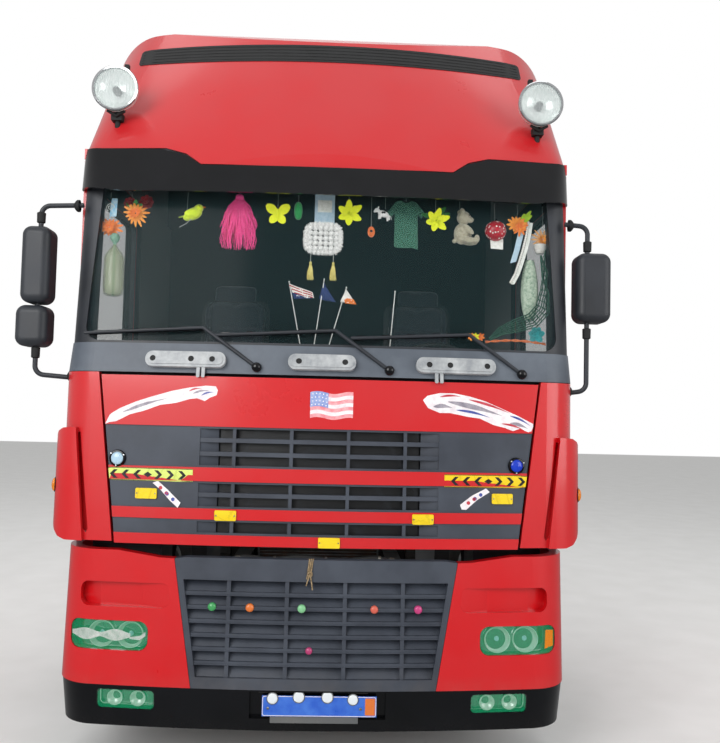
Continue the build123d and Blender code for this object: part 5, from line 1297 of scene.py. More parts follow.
class TRUCK_OT_decorations(bpy.types.Operator):
    """Hang the flowers, tassels, bird, butterfly, cards and ornaments along the top of the windscreen"""
    bl_idname = "truck.decorations"
    bl_label = "Windscreen ornaments"

    def execute(self, context):
        glass = surface_of("windscreen")

        def hold(x, z, depth=0.05):
            """A point behind the windscreen, at a place across and up."""
            return glass(x, z)[0] + Vector((0, depth, 0))

        def inner(depth):
            """A finder for a card that hangs at a depth behind the windscreen."""
            return lambda x, z: (hold(x, z, depth), OUTWARD)

        parts = {}

        def of(key):
            """The growing mesh of everything in one finish."""
            if key not in parts:
                parts[key] = bmesh.new()
            return parts[key]

        self.dyes()
        for hang in (self.threads, self.right_corner, self.roses, self.bird, self.tassel_and_butterfly,
                     self.quilt, self.daffodils_and_calf, self.red_ball, self.left_side, self.foot_of_screen):
            hang(hold, inner, of)
        for key, mesh in parts.items():
            piece("ornaments_" + key, mesh, key, "cab", 55)
        self.soft(hold)
        self.flags()
        return {"FINISHED"}

    def dyes(self):
        """The finishes of the ornaments."""
        # Dyed polyester petals and plush, felt and paper: dull, each with its own drift of tone.
        colours = {"petal_orange": ("#F08A35", "#D9621C"), "petal_amber": ("#F7A63C", "#E9842A"),
                   "petal_rose": ("#B01224", "#7C0B18"), "petal_yellow": ("#F6FA1C", "#E2EE12"),
                   "petal_peach": ("#F2BD7E", "#DE9858"), "petal_green": ("#3E8A3A", "#2B6B2C"),
                   "petal_lime": ("#B9E02B", "#93BE1C"), "plush_lime": ("#E4FA1A", "#CBE812"),
                   "strand_pink": ("#FF4FA0", "#F03A8C"), "strand_cream": ("#E8DC86", "#CFBE62"),
                   "fluff_white": ("#FBFBF9", "#ECECEA"), "plush_beige": ("#B9B39C", "#98927C"),
                   "card_blue": ("#8CCBEC", "#D9EEF6"), "card_pale": ("#BFD6E4", "#A9C6D8"),
                   "card_white": ("#F4F6F1", "#DADFD4"), "felt_green": ("#16A34C", "#0E8339"),
                   "felt_teal": ("#1F9A9C", "#12777A"), "felt_orange": ("#E4752F", "#C45A1D"),
                   "foil_red": ("#C8102A", "#8E0B1E"), "pole_white": ("#EDEDEA", "#D6D5CF"),
                   "bead_white": ("#F6F5F0", "#E6E3DA"), "flag_navy": ("#1E2C5E", "#2F3F78"),
                   "flag_red": ("#C22B38", "#A01E2C"), "net_green": ("#2F5B47", "#24483A"),
                   "bag_pale": ("#C4D2BE", "#7F9A84"), "bottle_cap": ("#8FB7A0", "#6E9C86")}
        for key, (base, worn) in colours.items():
            shine = 0.3 if key.startswith(("foil", "bead")) else 0.78
            woolly = key.startswith(("plush", "fluff", "felt"))
            fuzz = {"Sheen Weight": 0.5, "Sheen Roughness": 0.5} if woolly else {}
            stuff[key] = finish("dyed_" + key, base, worn, 14, shine, 0.08, 2, 0.25, **fuzz)
        stuff["hook"] = stuff["rubber"]
        # Twisted nylon thread: pale, faintly shiny.
        stuff["thread"] = finish("twisted_nylon_thread", "#C9CCC8", "#A5AAA6", 10, 0.45, 0.06, 1, 0.1)
        stuff["plush_white"] = stuff["fluff_white"]
        # Blown glass: clear with a green-brown tint.
        stuff["bottle"] = clear("blown_glass_green", "#A9B48F", 0.5, 0.08, IOR=1.5)

    def threads(self, hold, inner, of):
        """Hooks under the header and the threads that things hang from."""
        # across, foot of the thread
        for x, low in ((-1.094, 2.750), (-0.985, 2.735), (-0.700, 2.690), (-0.440, 2.770), (-0.245, 2.700),
                       (-0.142, 2.740), (0.111, 2.70), (0.225, 2.63), (0.295, 2.725), (0.400, 2.770),
                       (0.551, 2.70), (0.675, 2.745), (0.856, 2.695), (0.976, 2.70), (1.110, 2.600)):
            top = hold(x, 2.800)
            tube(of("hook"), [top + Vector((0, 0.006, 0.012)), top + Vector((0, -0.004, 0.004)),
                              top + Vector((0, -0.008, -0.008)), top + Vector((0, 0, -0.014)),
                              top + Vector((0, 0.007, -0.008))], 0.0026, 8)
            tube(of("thread"), [top + Vector((0, 0, -0.010)), hold(x, low)], 0.0009, 4)

    def right_corner(self, hold, inner, of):
        """A blue card, a ragged flower and a round-capped bottle in the right-hand corner."""
        wrap(of("card_blue"), rounded(-1.128, -1.058, 2.656, 2.752, 0.004), inner(0.050), 0.001)
        for radius, way in ((0.020, 0.0), (0.010, 2.0)):
            ring = [hold(-1.092 + radius * math.cos(a), 2.703 + radius * math.sin(a), 0.047)
                    for a in [0.35 * s + way for s in range(13)]]
            tube(of("card_white"), ring, 0.0022, 6)
        flower(of("petal_orange"), hold(-1.086, 2.598), 13, 0.050, 0.017, 0.2, -0.2, 0.2, 0.25)
        flower(of("petal_orange"), hold(-1.086, 2.598, 0.042), 9, 0.032, 0.014, 0.5, 0.1, 0.5, 0.2)
        bottle = hold(-1.060, 2.40, 0.085)
        spun = Vector((bottle.x, bottle.y, 0))
        lathe(of("bottle_cap"), [(0, 2.572), (0.014, 2.569), (0.023, 2.556), (0.024, 2.545), (0.018, 2.530),
                                 (0.009, 2.522), (0.008, 2.500)], spun, UP, 24)
        lathe(of("bottle_cap"), [(0.005, 2.505), (0.006, 2.40), (0.004, 2.30), (0.006, 2.255), (0, 2.253)],
              spun, UP, 10)
        lathe(of("bottle"), [(0.009, 2.512), (0.016, 2.498), (0.038, 2.470), (0.049, 2.445), (0.050, 2.30),
                             (0.046, 2.262), (0.030, 2.253), (0, 2.252)], spun, UP, 32)

    def roses(self, hold, inner, of):
        """Roses, and a daisy over a green leaf."""
        for x, z, size in ((-0.905, 2.728, 0.040), (-0.990, 2.722, 0.034)):
            for ring, (count, lean) in enumerate(((8, 0.35), (7, 0.8), (5, 1.8), (3, 4.0))):
                flower(of("petal_rose"), hold(x, z, 0.055 - 0.007 * ring), count, size * (1 - 0.13 * ring),
                       0.030, 0.7 * ring, 0.3, lean)
        for turn in (0.6, 1.4, 2.5):
            leaf(of("petal_green"), hold(-0.965, 2.690, 0.038), upright(turn), OUTWARD, 0.050, 0.024, 0.15)
        flower(of("petal_amber"), hold(-0.955, 2.668, 0.034), 15, 0.056, 0.015, 0.1, -0.25, 0.15, 0.18)
        flower(of("petal_orange"), hold(-0.955, 2.668, 0.028), 10, 0.034, 0.012, 0.3, 0.1, 0.6, 0.2)

    def bird(self, hold, inner, of):
        """A plump bird."""
        bird = hold(-0.668, 2.675, 0.055)
        lean = Matrix.Rotation(-0.42, 4, "Y")
        for shift, radii in (((0, 0, 0), (0.046, 0.030, 0.030)), ((0.034, 0, 0.014), (0.024, 0.021, 0.021)),
                             ((-0.030, 0, -0.004), (0.026, 0.022, 0.020))):
            ball(of("plush_lime"), bird + lean @ Vector(shift), radii, 14, 20, lean)
        for side in (-1, 1):
            leaf(of("plush_lime"), bird + Vector((0.012, side * 0.026, 0.004)), (-1, side * 0.15, -0.25),
                 (0, side, 0), 0.052, 0.030, 0.05, 0.2, 0.003)
            ball(of("hook"), bird + lean @ Vector((0.045, side * 0.017, 0.020)), (0.0028,) * 3, 6, 8)
        leaf(of("plush_lime"), bird + Vector((-0.038, 0, -0.012)), (-1, 0, -0.35), UP, 0.036, 0.026, 0.1, 0.1,
             0.003)
        leaf(of("petal_orange"), bird + lean @ Vector((0.052, 0, 0.014)), (1, 0, 0.25), UP, 0.018, 0.010,
             -0.2, 0.3, 0.003)
        tube(of("thread"), [bird + Vector((-0.004, -0.01, -0.026)), bird + Vector((-0.034, -0.01, -0.054)),
                            bird + Vector((-0.066, -0.01, -0.072))], 0.0016, 6)

    def tassel_and_butterfly(self, hold, inner, of):
        """A feathery pink tassel, a butterfly and a green pod."""
        skirt(of("strand_pink"), hold(-0.440, 2.776, 0.060), 0.272, 0.086, 260, 0.40, 0.0042, 0.85)
        lathe(of("strand_pink"), [(0.006, 0.012), (0.018, 0.006), (0.022, -0.008), (0.016, -0.020)],
              hold(-0.440, 2.772, 0.060), UP, 20)
        # butterfly
        place = hold(-0.244, 2.680, 0.048)
        for turn, length, width in ((2.50, 0.066, 0.046), (0.62, 0.068, 0.048), (4.05, 0.054, 0.040),
                                    (5.35, 0.054, 0.042)):
            way = upright(turn)
            leaf(of("petal_yellow"), place + way * 0.006, way, OUTWARD, length, width, 0.18, 0.3, 0.0016, 8,
                 0.15)
        ball(of("petal_yellow"), place + Vector((0, -0.004, -0.004)), (0.007, 0.007, 0.032), 10, 12)
        for side in (-1, 1):
            tube(of("hook"), [place + Vector((0, -0.004, 0.024)),
                              place + Vector((side * 0.008, -0.012, 0.040)),
                              place + Vector((side * 0.014, -0.014, 0.046))], 0.0009, 5)
        # green pod
        pod = hold(-0.142, 2.700, 0.050)
        lathe(of("felt_green"), [(0, 0.046), (0.010, 0.043), (0.018, 0.030), (0.021, 0.008), (0.021, -0.010),
                                 (0.017, -0.032), (0.009, -0.043), (0, -0.045)], pod, UP, 24)
        for turn in range(5):
            angle = 1.257 * turn
            leaf(of("petal_green"), pod + Vector((0, 0, 0.042)), (math.cos(angle), math.sin(angle), -0.5), UP,
                 0.022, 0.009, -0.3)

    def quilt(self, hold, inner, of):
        """A pale card over a quilted panel with a fluffy rim, and two slim tassels."""
        wrap(of("card_pale"), rounded(-0.060, 0.040, 2.620, 2.796, 0.004), inner(0.064), 0.001)
        wrap(of("card_white"), rounded(-0.046, 0.026, 2.700, 2.764, 0.004), inner(0.062), 0.001)
        middle = Vector((-0.014, 0, 2.560))
        for index in range(28):
            angle = 2 * math.pi * index / 28
            reach = (abs(math.cos(angle)) ** 4 + abs(math.sin(angle)) ** 4) ** -0.25
            x = middle.x + 0.086 * 0.98 * reach * math.cos(angle)
            z = middle.z + 0.072 * reach * math.sin(angle)
            tuft(of("fluff_white"), hold(x, z, 0.050), 0.0165, 46, index)
        for row in range(5):
            for column in range(6):
                spot = hold(middle.x - 0.065 + 0.026 * column, middle.z - 0.052 + 0.026 * row, 0.046)
                tuft(of("fluff_white"), spot, 0.0175, 34, row * 7 + column)
        for x in (-0.073, 0.039):
            tube(of("thread"), [hold(x, 2.480), hold(x, 2.430)], 0.0012, 5)
            skirt(of("strand_cream"), hold(x, 2.438), 0.092, 0.016, 60, 0.06, 0.0020, 1.0)
            lathe(of("strand_cream"), [(0, 0.004), (0.006, 0.0), (0.006, -0.012), (0.004, -0.016)],
                  hold(x, 2.436), UP, 12)

    def daffodils_and_calf(self, hold, inner, of):
        """Two daffodils with frilled trumpets, a small white calf with dark patches and an orange tag."""
        for x, z, size, turn in ((0.111, 2.690, 0.068, 0.52), (0.551, 2.672, 0.064, 0.25)):
            flower(of("petal_yellow"), hold(x, z), 6, size, size * 0.50, turn, 0.2, 0.35, 0.14)
            flower(of("petal_yellow"), hold(x, z, 0.046), 6, size * 0.62, size * 0.24, turn + 0.40, -0.3, 0.6,
                   0.2)
            flower(of("petal_yellow"), hold(x, z, 0.038), 9, size * 0.34, size * 0.20, turn, 0.3, 1.6, 0.1)
        for turn in (0.35, 0.85, 2.9):
            leaf(of("petal_green"), hold(0.551, 2.690, 0.056), upright(turn), OUTWARD, 0.076, 0.024, 0.1)
        # small white calf with dark patches, and an orange tag
        calf = hold(0.285, 2.700, 0.052)
        ball(of("plush_white"), calf, (0.030, 0.014, 0.016), 10, 14, Matrix.Rotation(0.35, 4, "Y"))
        ball(of("plush_white"), calf + Vector((-0.032, 0, 0.018)), (0.014, 0.011, 0.011), 10, 12)
        ball(of("plush_white"), calf + Vector((-0.042, 0, 0.012)), (0.008, 0.007, 0.006), 8, 10)
        for x, y, z in ((-0.020, 0.008, -0.024), (-0.014, -0.008, -0.026), (0.020, 0.008, -0.034),
                        (0.026, -0.008, -0.032)):
            tube(of("plush_white"), [calf + Vector((x, y, z + 0.022)), calf + Vector((x * 1.1, y, z))],
                 0.0048, 8, taper=[0.0055, 0.0042])
        for side in (-1, 1):
            leaf(of("plush_white"), calf + Vector((-0.028, side * 0.008, 0.026)), (0.3, side, 0.4), UP, 0.014,
                 0.008, 0.1)
            ball(of("hook"), calf + Vector((0.004 * side, -0.012, 0.004)), (0.007, 0.003, 0.006), 6, 8)
        tube(of("plush_white"), [calf + Vector((0.030, 0, -0.008)), calf + Vector((0.038, 0, -0.016)),
                                 calf + Vector((0.040, 0, -0.028))], 0.0018, 6)
        tag = [(0.225 + 0.018 * x, 2.602 + 0.028 * z) for x, z in circle(0, 0, 1, 20)]
        wrap(of("felt_orange"), tag, inner(0.050), 0.003, 0.04, 0.003)
        wrap(of("hook"), circle(0.225, 2.606, 0.007, 14), inner(0.0465), 0.0004)

    def red_ball(self, hold, inner, of):
        """A red ball with white flecks over a white paper square."""
        globe = hold(0.862, 2.640, 0.064)
        ball(of("foil_red"), globe, (0.054, 0.050, 0.052), 24, 36)
        lathe(of("chrome"), [(0, 0.062), (0.007, 0.060), (0.009, 0.054), (0.010, 0.048)], globe, UP, 16)
        for index in range(34):
            height = 0.85 - 1.7 * (index + 0.5) / 34
            ring = math.sqrt(1 - height * height)
            angle = math.pi * (1 + 0.46 * math.sin(9.7 * index)) + math.pi / 2 + (0.25 if index % 3 else 0.0)
            way = Vector((ring * math.cos(angle + math.pi), ring * math.sin(angle), height))
            way.y = -abs(way.y)
            spot = globe + Vector((way.x * 0.0542, way.y * 0.0502, way.z * 0.0522))
            lathe(of("bead_white"), [(0.0036 + 0.002 * math.sin(index) ** 2, -0.001), (0.003, 0.0006),
                                     (0, 0.0008)], spot, way, 7)
        wrap(of("card_white"), [(0.838, 2.548), (0.902, 2.546), (0.904, 2.602), (0.836, 2.606)], inner(0.075),
             0.001)

    def left_side(self, hold, inner, of):
        """Amber and peach flowers, a small basket and the beaded strip that curves down the left side."""
        flower(of("petal_amber"), hold(0.968, 2.676), 12, 0.046, 0.016, 0.1, 0.1, 0.3, 0.2)
        flower(of("petal_orange"), hold(0.985, 2.656, 0.042), 9, 0.036, 0.014, 0.4, -0.1, 0.3, 0.2)
        for turn, length in ((0.95, 0.088), (0.72, 0.075), (1.25, 0.060)):
            leaf(of("petal_lime"), hold(0.990, 2.676, 0.046), upright(turn), OUTWARD, length, 0.022, 0.12)
        # peach flower over a small white basket
        flower(of("petal_peach"), hold(1.108, 2.606, 0.062), 14, 0.052, 0.011, 0.0, -0.35, 0.35, 0.15)
        flower(of("petal_amber"), hold(1.108, 2.606, 0.056), 9, 0.028, 0.008, 0.3, -0.1, 0.8, 0.1)
        basket = hold(1.100, 2.560, 0.078)
        lathe(of("bead_white"), [(0.031, 0.020), (0.033, 0.022), (0.033, 0.017), (0.029, -0.010),
                                 (0.020, -0.024), (0, -0.026), (0, -0.022), (0.018, -0.020), (0.027, -0.008),
                                 (0.031, 0.020)], basket, UP, 28)
        for row, radius in enumerate((0.0215, 0.0265, 0.0295, 0.0315, 0.0335)):
            ring = [basket + Vector((x, y, -0.022 + 0.0095 * row)) for x, y in circle(0, 0, radius, 18)]
            tube(of("bead_white"), ring, 0.0022, 6, closed=True)
        # beaded strip that curves down the left side, with a pale ribbon beside it
        line = [(1.030, 2.690), (1.018, 2.620), (1.000, 2.550), (0.978, 2.480), (0.955, 2.415),
                (0.925, 2.360)]
        for (x0, z0), (x1, z1) in zip(line, line[1:]):
            for step in range(6):
                share = step / 6
                ball(of("bead_white"), hold(x0 + (x1 - x0) * share, z0 + (z1 - z0) * share, 0.040),
                     (0.0068, 0.0055, 0.0062), 6, 9)
        wrap(of("card_white"), between(line, (0.008, 0), (0.026, 0)), inner(0.046), 0.0008)
        wrap(of("card_pale"), between(line[:4], (-0.046, -0.010), (-0.014, 0)), inner(0.050), 0.0008)

    def foot_of_screen(self, hold, inner, of):
        """A teal bow, an orange braid and three small flowers at the foot of the screen."""
        for turn in (0.3, 1.2, 2.0, 2.9, 3.9, 5.4):
            leaf(of("felt_teal"), hold(1.060, 2.105, 0.075), upright(turn, -0.3), OUTWARD, 0.052, 0.034, 0.35,
                 0.5, 0.002)
        for number in range(2):
            points = []
            for step in range(31):
                share = step / 30
                wave = 0.004 * math.cos(math.pi * (6 * share + number))
                points.append(hold(0.800 + 0.310 * share, 2.062 + 0.012 * math.sin(math.pi * share) + wave,
                                   0.060 + wave))
            tube(of("felt_orange"), points, 0.0036, 7)
        for x, key in ((0.745, "petal_yellow"), (0.772, "petal_orange"), (0.725, "petal_amber")):
            flower(of(key), hold(x, 2.085, 0.055), 7, 0.022, 0.011, x * 9, 0.2, 0.5, 0.2)

    def soft(self, hold):
        """The seated bear, the green shirt, the pale bag and the net."""
        mesh = bmesh.new()
        seat = hold(0.690, 2.600, 0.070)
        # offset across, depth and height, then the radii and the turn of each stuffed form
        forms = (((-0.004, 0, 0.016), (0.040, 0.034, 0.054), 0.0),
                 ((0.006, 0, 0.098), (0.036, 0.032, 0.034), 0.0),
                 ((0.036, 0, 0.089), (0.021, 0.017, 0.016), 0.0),
                 ((-0.012, 0.018, 0.130), (0.014, 0.007, 0.014), 0.0),
                 ((-0.006, -0.020, 0.130), (0.014, 0.007, 0.014), 0.0),
                 ((0.034, -0.026, -0.020), (0.040, 0.016, 0.016), 0.12),
                 ((0.034, 0.026, -0.020), (0.040, 0.016, 0.016), 0.12),
                 ((0.070, -0.026, -0.012), (0.014, 0.015, 0.021), 0.0),
                 ((0.070, 0.026, -0.012), (0.014, 0.015, 0.021), 0.0),
                 ((0.026, -0.032, 0.034), (0.036, 0.013, 0.014), 0.75),
                 ((0.026, 0.032, 0.034), (0.036, 0.013, 0.014), 0.75),
                 ((-0.040, 0, -0.022), (0.012, 0.012, 0.012), 0.0))
        for shift, radii, turn in forms:
            ball(mesh, seat + Vector(shift), radii, 16, 22, Matrix.Rotation(turn, 4, "Y"))
        bear = piece("ornament_bear", mesh, "plush_beige", "cab", 180)
        merge = bear.modifiers.new("sewn", "REMESH")
        merge.mode = "VOXEL"
        merge.voxel_size = 0.0032
        soften = bear.modifiers.new("soft", "SMOOTH")
        soften.factor = 0.5
        soften.iterations = 5
        pile = bpy.data.textures.new("plush_pile", "CLOUDS")
        pile.noise_scale = 0.006
        ruffle = bear.modifiers.new("pile", "DISPLACE")
        ruffle.texture = pile
        ruffle.strength = 0.0012
        mesh = bmesh.new()
        for shift, radii in (((0.030, -0.026, 0.108), (0.0035,) * 3), ((0.030, 0.026, 0.108), (0.0035,) * 3),
                             ((0.057, 0, 0.092), (0.005, 0.006, 0.004))):
            ball(mesh, seat + Vector(shift), radii, 8, 10)
        piece("ornament_bear_eyes", mesh, "rubber", "cab")
        # T-shirt cut flat and hung from its shoulders
        outline = [(-0.026, 0.0), (-0.052, -0.008), (-0.098, -0.070), (-0.078, -0.092), (-0.058, -0.070),
                   (-0.060, -0.245), (-0.020, -0.252), (0.024, -0.246), (0.062, -0.256), (0.060, -0.070),
                   (0.078, -0.090), (0.098, -0.068), (0.052, -0.006), (0.026, 0.0), (0.010, -0.012),
                   (-0.010, -0.012)]

        def folded(x, z):
            """A finder for the shirt's cloth, with folds that deepen below the shoulders."""
            drop = max(0.0, 2.780 - z)
            wave = 0.006 * math.sin((x - 0.40) * 110) * min(1, drop / 0.1) + 0.003 * math.sin(z * 70 + x * 30)
            return hold(x, z, 0.056) + Vector((0, wave, 0)), OUTWARD
        mesh = bmesh.new()
        wrap(mesh, [(0.400 + x, 2.776 + z) for x, z in outline], folded, 0.0004, 0.010, 0.0004)
        # Thin dyed voile: faded bottle green, seen through.
        stuff["voile"] = clear("dyed_voile_green", "#3F7A62", 0.62, 0.8, 0, **{"Sheen Weight": 0.4})
        shirt = piece("ornament_shirt", mesh, "voile", "cab", 80)
        area_of(outline)
        # pale patterned bag that sags on its string
        mesh = bmesh.new()
        middle = hold(1.040, 2.340, 0.085)
        rings = []
        for row in range(15):
            share = row / 14
            height = 0.150 - 0.300 * share
            wide = 0.040 * (math.sin(math.pi * min(1, 0.10 + 0.80 * share)) ** 0.6) * (1 + 0.20 * share)
            ring = []
            for step in range(22):
                angle = 2 * math.pi * step / 22
                pleat = 1 + 0.10 * math.sin(7 * angle) * (1 - share)
                across, deep = wide * pleat * math.cos(angle), wide * 0.55 * pleat * math.sin(angle)
                point = middle + Vector((across, deep, height + 0.006 * math.sin(3 * angle)))
                ring.append(mesh.verts.new(point))
            rings.append(ring)
        skin(mesh, rings)
        bag = piece("ornament_bag", mesh, "bag_pale", "cab", 80)
        # green net slung along the left side and foot of the screen, held at both ends
        mesh = bmesh.new()
        path = [(1.128, 2.560), (1.130, 2.440), (1.122, 2.330), (1.100, 2.240), (1.045, 2.180),
                (0.960, 2.150), (0.880, 2.120), (0.820, 2.075)]
        strands = []
        for number in range(7):
            points = []
            for index, (x, z) in enumerate(path):
                spread = 0.013 * (number - 3) * math.sin(math.pi * (index + 0.3) / 7.6)
                after = path[min(index + 1, 7)]
                before = path[max(index - 1, 0)]
                along = Vector((after[0] - before[0], after[1] - before[1])).normalized()
                across, up = min(x - along.y * spread, 1.135), max(z + along.x * spread, 2.060)
                points.append(hold(across, up, 0.060 + 0.006 * math.sin(number * 2)))
            strands.append(points)
            tube(mesh, points, 0.0030, 6)
        for number in range(6):
            for index in range(7):
                strand, beside = strands[number], strands[number + 1]
                for share in (0.15, 0.5, 0.85):
                    first = strand[index].lerp(strand[index + 1], share)
                    last = beside[index].lerp(beside[index + 1], min(1, share + 0.14))
                    tube(mesh, [first, last], 0.0022, 5)
        piece("ornament_net", mesh, "net_green", "cab", 60)

    def flags(self):
        """Three small flags and a bare stick that stand on the dashboard."""
        poles, feet = bmesh.new(), bmesh.new()
        foot_y, top_z = FACE + 0.285, 2.000
        tops = {"striped": (-0.178, 2.340, -0.110), "navy": (-0.004, 2.357, -0.050),
                "pennant": (0.108, 2.319, 0.020), "bare": (0.352, 2.305, 0.330)}
        for x, z, foot in tops.values():
            tube(poles, [(foot, foot_y, top_z), (x, foot_y - 0.010, z)], 0.0024, 8)
            lathe(feet, [(0, 0.016), (0.004, 0.014), (0.007, 0.006), (0.022, 0.002), (0.024, 0)],
                  (foot, foot_y, top_z), UP, 20)
            ball(poles, (x, foot_y - 0.010, z + 0.003), (0.004,) * 3, 8, 10)
        piece("flag_poles", poles, "pole_white", "cab")
        piece("flag_feet", feet, "black", "cab")

        def hung(x, z):
            """A finder for the small flags' waving cloth."""
            return Vector((x, foot_y - 0.012 + 0.006 * math.sin((x + z) * 90), z)), OUTWARD
        # name, finish, corners of each hanging cloth
        cloths = (("striped_base", "bead_white",
                   [(-0.176, 2.332), (-0.060, 2.292), (-0.052, 2.262), (-0.152, 2.262)]),
                  ("striped_canton", "flag_navy",
                   [(-0.166, 2.290), (-0.110, 2.272), (-0.052, 2.262), (-0.150, 2.256)]),
                  ("navy", "flag_navy",
                   [(-0.006, 2.348), (0.026, 2.292), (0.058, 2.246), (0.018, 2.250), (-0.028, 2.262)]),
                  ("pennant", "bead_white", [(0.107, 2.312), (0.158, 2.240), (0.078, 2.248)]),
                  ("pennant_sun", "petal_orange",
                   [(0.098, 2.258), (0.116, 2.270), (0.146, 2.262), (0.160, 2.238), (0.104, 2.240)]))
        for name, key, outline in cloths:
            mesh = bmesh.new()
            lift = 0.0012 if name in ("striped_canton", "pennant_sun") else 0.0004
            wrap(mesh, outline, hung, lift, 0.012, 0.0004)
            made = piece("flag_cloth_" + name, mesh, key, "cab", 80)
            xs, zs = [x for x, _ in outline], [z for _, z in outline]
            size = (max(xs) - min(xs) + 0.002, max(zs) - min(zs) + 0.002)
            area_of(outline)
        mesh = bmesh.new()
        for row in range(3):
            x0, z0 = -0.176 + 0.012 * row, 2.326 - 0.018 * row
            x1, z1 = -0.062 + 0.002 * row, 2.288 - 0.010 * row
            wrap(mesh, [(x0, z0 - 0.006), (x1, z1 - 0.005), (x1, z1), (x0, z0)], hung, 0.0012, 0.012, 0.0004)
        piece("flag_stripes_small", mesh, "flag_red", "cab")


# Seats and bunk
def rounded_form(size, cuts, power, crown, bolster=0.0):
    """A rounded block about its own middle, crowned on top, whose sides pull in between the corners."""
    mesh = bmesh.new()
    bmesh.ops.create_cube(mesh, size=2)
    bmesh.ops.subdivide_edges(mesh, edges=mesh.edges[:], cuts=cuts, use_grid_fill=True)
    for vert in mesh.verts:
        p = vert.co.copy()
        reach = sum(abs(part) ** power for part in p) ** (-1 / power) * max(abs(part) for part in p)
        q = p * reach
        middle_x, middle_y = 1 - q.x * q.x, 1 - q.y * q.y
        raised = bolster * max(0.0, (abs(q.x) - 0.58) / 0.42) if q.z > 0 else 0.0
        lift = 1 + crown * middle_x * middle_y + raised
        pulled = Vector((q.x * (1 - 0.045 * middle_y), q.y * (1 - 0.045 * middle_x), q.z * lift))
        vert.co = Vector(part * full / 2 for part, full in zip(pulled, size))
    return mesh


def stuffed(name, size, voxel, cap, crown, bolster=0.0, channels=()):
    """The mesh of a cushion: a rounded form swollen by simulated cloth, with channels sewn across it."""
    mesh = rounded_form([part * 0.93 for part in size], 12, 5.0, crown, bolster)
    bmesh.ops.recalc_face_normals(mesh, faces=mesh.faces[:])
    data = bpy.data.meshes.new(name)
    mesh.to_mesh(data)
    mesh.free()
    form = bpy.data.objects.new(name + "_form", data)
    bpy.context.scene.collection.objects.link(form)
    voxels = form.modifiers.new("voxels", "REMESH")
    voxels.mode = "VOXEL"
    voxels.voxel_size = voxel
    graph = bpy.context.evaluated_depsgraph_get()
    fine = bpy.data.meshes.new_from_object(form.evaluated_get(graph))
    form.modifiers.clear()
    form.data = fine
    before = [vert.co.copy() for vert in fine.vertices]
    cover = form.modifiers.new("cover", "CLOTH")
    cover.settings.quality = 4
    cover.settings.use_pressure = True
    cover.settings.uniform_pressure_force = 4.0
    cover.settings.effector_weights.gravity = 0.0
    for number in range(1, 21):
        bpy.context.scene.frame_set(number)
    swollen = form.evaluated_get(bpy.context.evaluated_depsgraph_get()).data
    after = [vert.co.copy() for vert in swollen.vertices]
    form.modifiers.clear()
    for vert, first, last in zip(fine.vertices, before, after):
        move = last - first
        vert.co = first + move * min(1.0, cap / max(move.length, 1e-6))
    bpy.context.scene.frame_set(1)
    bpy.data.objects.remove(form)
    data = fine
    # held to the size that it was cut to
    limits = [max(abs(vert.co[axis]) for vert in data.vertices) for axis in range(3)]
    for vert in data.vertices:
        for axis in range(3):
            vert.co[axis] *= min(1.0, size[axis] / 2 / limits[axis])
    for axis, places, deep in channels:
        for vert in data.vertices:
            if vert.co.z > 0:
                for place in places:
                    away = (vert.co[axis] - place) / 0.012
                    vert.co.z -= deep * math.exp(-away * away) * min(1.0, vert.co.z / (size[2] * 0.25))
    return data


def upholster(name, data, place, material, fine=True):
    """A cushion set in its place."""
    mesh = bmesh.new()
    mesh.from_mesh(data)
    bmesh.ops.transform(mesh, matrix=place, verts=mesh.verts[:])
    made = piece(name, mesh, material, "cab", 180)
    if fine:
        smooth = made.modifiers.new("smooth", "SUBSURF")
        smooth.levels = smooth.render_levels = 1


def seam(mesh, data, height, radius, place):
    """Piping laid round a cushion at a height, read from its surface."""
    tree = BVHTree.FromPolygons([vert.co.copy() for vert in data.vertices],
                                [poly.vertices[:] for poly in data.polygons])
    points = []
    for step in range(72):
        angle = 2 * math.pi * step / 72
        way = Vector((math.cos(angle), math.sin(angle), 0))
        hit = tree.ray_cast(way * 3 + Vector((0, 0, height)), -way)
        if hit[0]:
            points.append(place @ (hit[0] + way * radius * 0.3))
    tube(mesh, points, radius, 8, closed=True)


